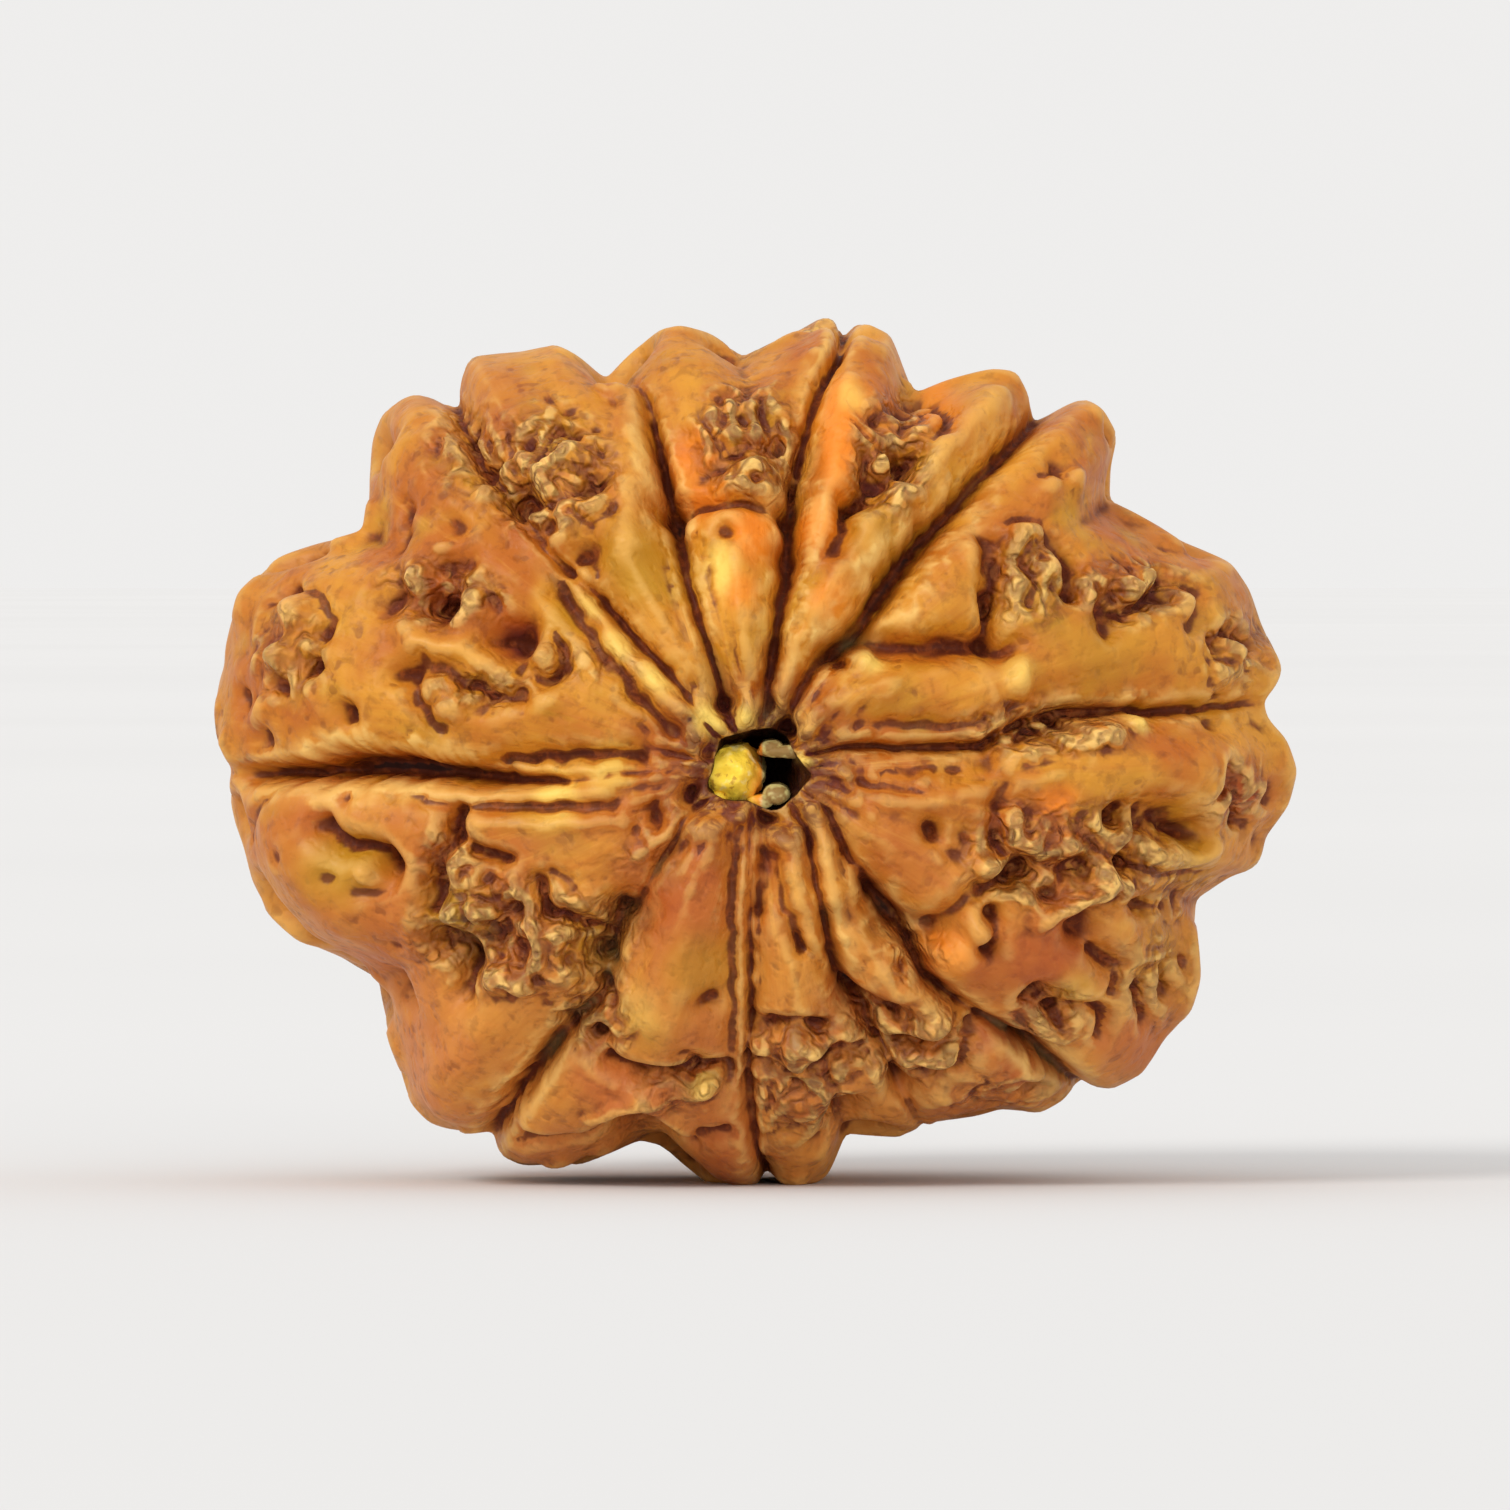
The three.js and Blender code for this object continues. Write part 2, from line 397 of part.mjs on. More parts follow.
// Each main groove knows its bearing and how open it is at any latitude, from the near mouth over the
// rim to the far one.
const grooves = GROOVES.map(([width, depth, farBearing, line]) => {
  const near = line.map((point) => ({ ...onFace(point), open: point[2] }));
  near.forEach((at, i) => {
    if (i && at.bearing < near[i - 1].bearing - Math.PI) at.bearing += 2 * Math.PI;
    if (i && at.bearing > near[i - 1].bearing + Math.PI) at.bearing -= 2 * Math.PI;
  });
  const rim = near[near.length - 1];
  const turn = (farBearing * Math.PI) / 180 - rim.bearing;
  const shortest = Math.atan2(Math.sin(turn), Math.cos(turn));
  const traced = (latitude) => {
    const next = near.findIndex((at) => at.latitude > latitude);
    if (next === 0) return near[0];
    if (next < 0) return rim;
    const a = near[next - 1];
    const b = near[next];
    const k = (latitude - a.latitude) / (b.latitude - a.latitude);
    return { bearing: mix(a.bearing, b.bearing, k), open: mix(a.open, b.open, k) };
  };
  const bearingAt = (latitude) =>
    latitude < 1 ? traced(latitude).bearing : rim.bearing + shortest * ramp([1, 2], latitude);
  const openAt = (latitude) => mix(traced(latitude).open, FAR_OPEN, ramp(FAR_OPENS, latitude));
  const points = [];
  for (let latitude = GROOVE_STEP; latitude < 2; latitude += GROOVE_STEP) {
    points.push(bodyPoint(bearingAt(latitude), latitude));
  }
  return { width, depth, chain: makeChain(points), bearingAt, openAt };
});

const seams = SEAMS.map(([width, height, line]) => ({ width, height, chain: chainOnFace(line) }));
SPOTS.forEach(([x, y, width, height]) => {
  seams.push({ width, height, chain: chainOnFace([[x, y]]) });
});

const roll = dice(SEED);
for (let i = 0; i < SIDE_PITS + SIDE_RIDGES; i++) {
  const raised = i >= SIDE_PITS;
  let bearing = roll() * 2 * Math.PI;
  let latitude = (Math.acos(mix(...SIDE_COSINES, roll())) * 2) / Math.PI;
  let heading = roll() * 2 * Math.PI;
  const points = [];
  const count = raised ? RIDGE_POINTS : 1 + Math.floor(PIT_SPREAD * roll());
  for (let k = 0; k < count; k++) {
    points.push(bodyPoint(bearing, latitude));
    heading += SIDE_WINDING * (roll() - 0.5);
    const around = Math.max(Math.hypot(points[k].x, points[k].z), SIDE_LEAST_RADIUS);
    bearing += (SIDE_STEP * Math.cos(heading)) / around;
    latitude = clamp(latitude + SIDE_CLIMB * Math.sin(heading), ...SIDE_LATITUDES);
  }
  const width = mix(...(raised ? RIDGE_WIDTH : PIT_WIDTH), roll());
  const height = mix(...(raised ? RIDGE_HEIGHT : PIT_HEIGHT), roll());
  seams.push({ width, height, chain: makeChain(points) });
}

// How far the main grooves sink the surface at a point of the plain body.
function grooveDepth(point, latitude) {
  const reach = reachAt(latitude);
  const grown = ramp(GROOVES_GROW, Math.hypot(point.x, point.z));
  const valleyWidth = mix(FIRST_VALLEY_WIDTH, VALLEY_WIDTH, grown);
  const valleyDepth = mix(FIRST_VALLEY_DEPTH, VALLEY_DEPTH, grown) * (1 - ramp(NOTCHES, reach));
  const slitShare = mix(FIRST_SLIT_SHARE, SLIT_SHARE, grown) * (1 - SLIT_FADE * ramp(SLITS_FADE, reach));
  let sunk = 0;
  grooves.forEach(({ width, depth, chain, openAt }) => {
    const d = distanceToChain(point, chain);
    const open = openAt(latitude);
    const half = width * mix(FIRST_SLIT_WIDTH, 1, grown);
    const slit = Math.max(0, 1 - Math.pow(d / half, 2)) * depth * slitShare * open;
    const valley = valleyDepth * Math.sqrt(Math.min(open, 1)) * Math.exp(-Math.pow(d / valleyWidth, 2));
    sunk = Math.max(sunk, valley + slit);
  });
  return sunk;
}

// Height of the relief above the plain body at one of its points.
function relief(point, latitude) {
  let height = -grooveDepth(point, latitude);
  seams.forEach((seam) => {
    const width = Math.hypot(seam.width, FINEST);
    const farthest = 2.5 * width;
    if (seam.chain.middle.distanceTo(point) > seam.chain.ball + farthest) return;
    const d = distanceToChain(point, seam.chain);
    height += seam.height * Math.exp(-Math.pow(d / width, 2));
  });
  return clamp(height, -DEEPEST, HIGHEST);
}

// Keeps the relief behind the rim from standing out past the rim's own outline.
function keepOutline(height, base, normal, bearing) {
  const outward = Math.max(Math.hypot(normal.x, normal.z), LEAST_OUTWARD);
  const room = (rimRadius(bearing) - Math.hypot(base.x, base.z)) / outward + PAST_RIM;
  return height - ROUNDING * Math.log1p(Math.exp((height - room) / ROUNDING));
}

// Point of the finished surface, with its mouths squashed a little.
function surfacePoint(bearing, latitude) {
  const base = bodyPoint(bearing, latitude);
  const normal = bodyNormal(bearing, latitude);
  const height = keepOutline(relief(base, latitude), base, normal, bearing);
  const point = base.clone().addScaledVector(normal, height);
  point.z *= 1 - MOUTH_SQUASH * (1 - ramp(SQUASH_FADES, Math.hypot(point.x, point.z)));
  return point;
}

// A ring of points round the body at one latitude. Each stretch between two main grooves starts on the
// groove, so that the groove's floor is an edge of the mesh.
function surfaceRing(latitude, step) {
  const turn = 2 * Math.PI;
  return grooves.map((groove, i) => {
    const from = groove.bearingAt(latitude);
    const next = grooves[(i + 1) % grooves.length].bearingAt(latitude);
    const to = next - turn * Math.floor((next - from) / turn);
    const middle = bodyPoint((from + to) / 2, latitude);
    const span = (to - from) * Math.hypot(middle.x, middle.z);
    const count = Math.max(2, Math.round(span / step));
    return Array.from({ length: count }, (_, k) => {
      const share = k / count;
      const eased = share - (CROWDING * Math.sin(turn * share)) / turn;
      return surfacePoint(mix(from, to, eased), latitude);
    });
  });
}

// A ring inside the canal, scaled from a mouth ring.
function canalRing(mouth, depth) {
  return mouth.map((stretch) =>
    stretch.map((point) => {
      const own = Math.hypot(point.x, point.z);
      const side = point.y < 0 ? 1 : -1;
      const wanted = mix(own, CANAL_RADIUS, ramp([0, FUNNEL_DEPTH], depth));
      const y = point.y + side * depth;
      const bow = CANAL_BEND * (1 - ramp([BOW_FULL, BOW_ENDS], Math.abs(y)));
      return new THREE.Vector3((point.x * wanted) / own - bow, y, (point.z * wanted) / own);
    }),
  );
}

// All rings in order: out over the near side, over the rim, in over the far side, back through the canal.
function allRings() {
  const rings = [];
  const sample = 0.3; // any bearing will do to measure the spacing along
  let walked = Infinity;
  let last = bodyPoint(sample, MOUTH_LATITUDE);
  for (let latitude = MOUTH_LATITUDE; latitude < 2 - MOUTH_LATITUDE; latitude += WALK_STEP) {
    const here = bodyPoint(sample, latitude);
    walked += here.distanceTo(last);
    last = here;
    const step = mix(FRONT_STEP, BACK_STEP, ramp(STEP_GROWS, latitude));
    if (walked >= step) {
      rings.push(surfaceRing(latitude, step));
      walked = 0;
    }
  }
  const near = rings[0];
  const far = rings[rings.length - 1];
  const farDepths = [0.8, 1.8];
  const nearDepths = [0.4, 0.9, 1.6];
  const canalStep = 1.2;
  for (let depth = FUNNEL_DEPTH + canalStep / 2; depth < CANAL_LENGTH; depth += canalStep) {
    nearDepths.push(depth);
  }
  farDepths.forEach((depth) => rings.push(canalRing(far, depth)));
  nearDepths.reverse().forEach((depth) => rings.push(canalRing(near, depth)));
  return rings;
}

// Joins neighbouring rings stretch by stretch; the two may hold different numbers of points.
function skin(rings) {
  const positions = [];
  const index = [];
  const numbered = rings.map((ring) =>
    ring.map((stretch) =>
      stretch.map((point) => {
        positions.push(point.x, point.y, point.z);
        return positions.length / 3 - 1;
      }),
    ),
  );
  numbered.forEach((ring, r) => {
    const other = numbered[(r + 1) % numbered.length];
    ring.forEach((stretch, i) => {
      const a = [...stretch, ring[(i + 1) % ring.length][0]];
      const b = [...other[i], other[(i + 1) % other.length][0]];
      let p = 0;
      let q = 0;
      while (p < a.length - 1 || q < b.length - 1) {
        const done = q === b.length - 1;
        const behind = p < a.length - 1 && (p + 1) / a.length < (q + 1) / b.length;
        if (done || behind) {
          index.push(a[p], b[q], a[p + 1]);
          p++;
        } else {
          index.push(a[p], b[q], b[q + 1]);
          q++;
        }
      }
    });
  });
  const geometry = new THREE.BufferGeometry();
  geometry.setAttribute("position", new THREE.BufferAttribute(new Float32Array(positions), 3));
  geometry.setIndex(index);
  return geometry;
}

// The dried pith: a rounded peg in the mouth, left of the canal's middle and grown to its wall.
function stubGeometry() {
  const profile = [
    [0, STUB_TIP],
    [STUB_RADIUS * 0.4, STUB_TIP],
    [STUB_RADIUS * 0.82, STUB_TIP + 0.15],
    [STUB_RADIUS, STUB_TIP + 0.5],
    [STUB_RADIUS, STUB_ROOT - STUB_TAPER],
    [STUB_RADIUS * 0.8, STUB_ROOT],
    [0, STUB_ROOT],
  ].map(([radius, y]) => new THREE.Vector2(radius, y));
  const peg = new THREE.LatheGeometry(profile, STUB_SIDES);
  return peg.translate((STUB_AT[0] - PLAN_AXIS[0]) * MM, 0, (PLAN_AXIS[1] - STUB_AT[1]) * MM);
}

const wasm = await Module();
wasm.setup();

function toSolid(geometry) {
  const plain = new THREE.BufferGeometry();
  plain.setAttribute("position", geometry.getAttribute("position").clone());
  plain.setIndex(geometry.index);
  const merged = mergeVertices(plain, 1e-4);
  return new wasm.Manifold(
    new wasm.Mesh({
      numProp: 3,
      vertProperties: new Float32Array(merged.attributes.position.array),
      triVerts: new Uint32Array(merged.index.array),
    }),
  );
}

function toGeometry(solid) {
  const mesh = solid.getMesh();
  const geometry = new THREE.BufferGeometry();
  const positions = new Float32Array(mesh.numVert * 3);
  for (let i = 0; i < mesh.numVert; i++) {
    positions.set(mesh.vertProperties.subarray(i * mesh.numProp, i * mesh.numProp + 3), i * 3);
  }
  geometry.setAttribute("position", new THREE.BufferAttribute(positions, 3));
  geometry.setIndex(new THREE.BufferAttribute(new Uint32Array(mesh.triVerts), 1));
  return geometry;
}

const floor = (PLAN_AXIS[1] - FLOOR) * MM;
const groundSize = 2 * WIDTH;
const groundDepth = WIDTH / 4;
const ground = new THREE.BoxGeometry(groundSize, groundSize, groundDepth);
ground.translate(0, 0, floor - groundDepth / 2);
const shell = toSolid(skin(allRings()));
const bead = shell.add(toSolid(stubGeometry())).subtract(toSolid(ground));
const geometry = toGeometry(bead);
geometry.computeBoundingBox();
const { min, max } = geometry.boundingBox;
const fit = WIDTH / (max.x - min.x);
geometry.translate(-(min.x + max.x) / 2, -(min.y + max.y) / 2, -floor).scale(fit, fit, fit);
geometry.computeVertexNormals();

const material = new THREE.MeshStandardMaterial({ color: 0xb9732f, roughness: 0.55, metalness: 0 });
const mesh = new THREE.Mesh(geometry, material);
mesh.name = "bead";

const group = new THREE.Group();
group.name = "rudraksha_bead";
group.add(mesh);

export default group;
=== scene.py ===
"""Rudraksha bead: the woody stone with its lobes, ridges and pits, and the dried pith in its mouth.

The bead stands on its rim: the thread canal runs along Y, the mouth faces -Y, X runs across the
widest lobes and Z is up. Shapes are worked out in millimetres and turned to metres at the end.
"""

import math

import bpy
import numpy as np
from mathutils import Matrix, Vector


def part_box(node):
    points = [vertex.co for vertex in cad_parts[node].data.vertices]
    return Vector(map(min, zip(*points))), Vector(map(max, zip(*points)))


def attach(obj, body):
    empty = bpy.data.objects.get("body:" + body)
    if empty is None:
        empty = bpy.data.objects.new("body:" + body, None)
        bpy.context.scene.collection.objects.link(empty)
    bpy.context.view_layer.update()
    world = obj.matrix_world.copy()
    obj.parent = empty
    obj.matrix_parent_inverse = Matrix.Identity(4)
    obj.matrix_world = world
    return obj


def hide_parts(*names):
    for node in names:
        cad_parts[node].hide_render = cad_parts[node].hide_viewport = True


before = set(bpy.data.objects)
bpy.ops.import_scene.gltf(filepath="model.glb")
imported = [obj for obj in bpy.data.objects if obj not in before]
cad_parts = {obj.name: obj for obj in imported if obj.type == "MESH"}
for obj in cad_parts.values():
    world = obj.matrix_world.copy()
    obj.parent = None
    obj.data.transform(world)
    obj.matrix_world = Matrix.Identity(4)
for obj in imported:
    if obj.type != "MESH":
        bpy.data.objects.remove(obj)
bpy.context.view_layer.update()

# Driving dimensions in millimetres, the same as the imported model's.
WIDTH = 28.0
HALF_LENGTH = 9.0
FULLNESS = 0.82  # power of the body's profile: 1 would be an ellipse
PLAIN_RADIUS = WIDTH * 0.45
NOTCHED = (0.72, 0.98)  # between these reaches the rim's notches grow in and the valleys fade
CANAL_RADIUS = 0.98
DIMPLE_DEPTH = 0.8
DIMPLE_RADIUS = 2.4
VALLEY_DEPTH = 0.85
VALLEY_WIDTH = 1.05
CANAL_BEND = 2.1  # how far the canal bows to the side halfway through
BOWED = (5.5, 1.5)  # distances from the middle where the bow begins and where it is full

# Mesh spacing: fine on the mouth side and over the rim, coarser on the far side.
FRONT_STEP = 0.119
BACK_STEP = 0.26
MOUTH_SQUASH = 0.24  # how much lower than wide the mouths are
FLUTES = 38  # thin ridges round a mouth
FLUTE_HEIGHT = 0.17
ROUNDING = 0.05  # how softly the relief is held behind the rim's outline
FINEST = 0.05  # least width of a line or spot
BLUNTED = 0.04  # how far a sharp point may stand out from the skin round it
LOWEST, HIGHEST = -2.3, 0.6  # limits of the relief
LIP_AT, LIP_WIDTH = 1.8, 0.24  # a groove's lip: how many half widths from its floor, and how broad
SLIT_SHARE = 0.62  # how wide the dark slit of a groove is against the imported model's blunter one

# Plan of the mouth side, seen from the front: x to the right, y down, with the canal at PLAN_AXIS.
PLAN_SPAN = 1077
MM = WIDTH / PLAN_SPAN
PLAN_AXIS = (755, 765)
FLOOR = 1181  # the ground that the bead stands on
FRAME = 1510  # side of the square picture round the plan

# The rim, clockwise from the notch at the left: crests, shoulders and notches of the lobes.
RIM = [
    [234, 768], [219, 740], [216, 710], [224, 660], [233, 620], [240, 592], [280, 557], [340, 538],
    [365, 531], [369, 500], [371, 440], [380, 415], [400, 398], [415, 393], [430, 396], [459, 413],
    [460, 380], [470, 357], [520, 352], [555, 345], [580, 358], [605, 381], [632, 353], [660, 331],
    [680, 327], [710, 335], [742, 358], [770, 343], [800, 330], [826, 315], [838, 322], [842, 350],
    [848, 327], [865, 322], [890, 334], [904, 372], [913, 395], [940, 383], [990, 370], [1015, 373],
    [1025, 395], [1032, 426], [1050, 414], [1080, 398], [1100, 409], [1117, 440], [1110, 461],
    [1108, 502], [1140, 518], [1180, 542], [1228, 563], [1247, 590], [1258, 622], [1278, 668],
    [1272, 684], [1258, 700], [1263, 718], [1282, 738], [1293, 770], [1285, 803], [1262, 835],
    [1258, 855], [1250, 869], [1230, 873], [1194, 898], [1193, 930], [1197, 975], [1188, 1008],
    [1160, 1039], [1138, 1073], [1110, 1090], [1078, 1080], [1062, 1100], [1040, 1112], [1000, 1109],
    [960, 1120], [925, 1125], [900, 1134], [880, 1133], [844, 1130], [836, 1152], [826, 1174],
    [806, 1184], [782, 1182], [764, 1163], [757, 1184], [740, 1193], [710, 1184], [680, 1161],
    [660, 1143], [640, 1137], [620, 1145], [580, 1163], [520, 1166], [500, 1155], [494, 1128],
    [460, 1131], [430, 1121], [410, 1100], [398, 1062], [384, 1020], [377, 981], [340, 957],
    [300, 940], [268, 912], [250, 880], [240, 845], [229, 800],
]

# The ten main grooves, counter-clockwise from the right: width, depth, where the groove ends round the
# far mouth (degrees), and its line from the near mouth out to the rim, as x, y and how open it is there.
GROOVES = [
    [0.4, 1.0, 5, [[812, 742, 0.5], [900, 745, 0.6], [985, 741, 0.5], [1005, 730, 0.2], [1022, 718, 0.35],
                   [1060, 710, 0.8], [1100, 706, 0.9], [1170, 707, 0.7], [1220, 704, 0.4], [1258, 700, 0.3]]],
    [0.62, 1.3, 41, [[800, 672, 0.7], [840, 645, 1.0], [880, 592, 1.1], [915, 540, 1.1], [955, 500, 0.9],
                     [985, 465, 0.6], [1032, 426, 0.5]]],
    [0.55, 1.2, 77, [[765, 690, 0.6], [775, 630, 0.8], [787, 570, 1.0], [790, 500, 1.1], [797, 455, 0.6],
                     [812, 400, 0.5], [842, 350, 0.6]]],
    [0.4, 0.9, 113, [[725, 690, 0.5], [702, 630, 0.6], [684, 570, 0.7], [674, 520, 1.2], [655, 440, 0.9],
                     [645, 395, 0.5], [638, 384, 0.15], [605, 381, 0.0]]],
    [0.5, 1.0, 149, [[690, 690, 0.5], [640, 642, 0.6], [602, 600, 0.6], [545, 545, 0.35], [500, 490, 0.3],
                     [465, 440, 0.55], [459, 413, 0.4]]],
    [0.5, 1.3, 185, [[690, 765, 0.0], [600, 772, 0.1], [540, 776, 0.4], [500, 776, 0.7], [420, 767, 1.2],
                     [340, 764, 1.4], [280, 770, 0.8], [234, 768, 0.4]]],
    [0.55, 1.1, 221, [[690, 818, 0.4], [650, 880, 0.25], [612, 932, 0.5], [600, 1000, 0.4], [562, 1030, 0.6],
                      [512, 1092, 0.9], [494, 1128, 0.8]]],
    [0.45, 1.0, 257, [[750, 830, 0.4], [747, 900, 0.35], [748, 960, 0.45], [749, 1020, 0.45],
                      [745, 1070, 0.6], [750, 1120, 0.6], [764, 1163, 0.5]]],
    [0.45, 1.0, 293, [[797, 822, 0.5], [818, 890, 0.6], [833, 960, 0.7], [862, 1012, 0.9], [898, 1075, 0.6],
                      [910, 1105, 0.35], [922, 1125, 0.2]]],
    [0.5, 1.2, 329, [[812, 800, 0.3], [850, 858, 0.6], [895, 915, 1.1], [935, 985, 0.5], [990, 1024, 0.45],
                     [1045, 1052, 1.0], [1078, 1080, 0.6]]],
]

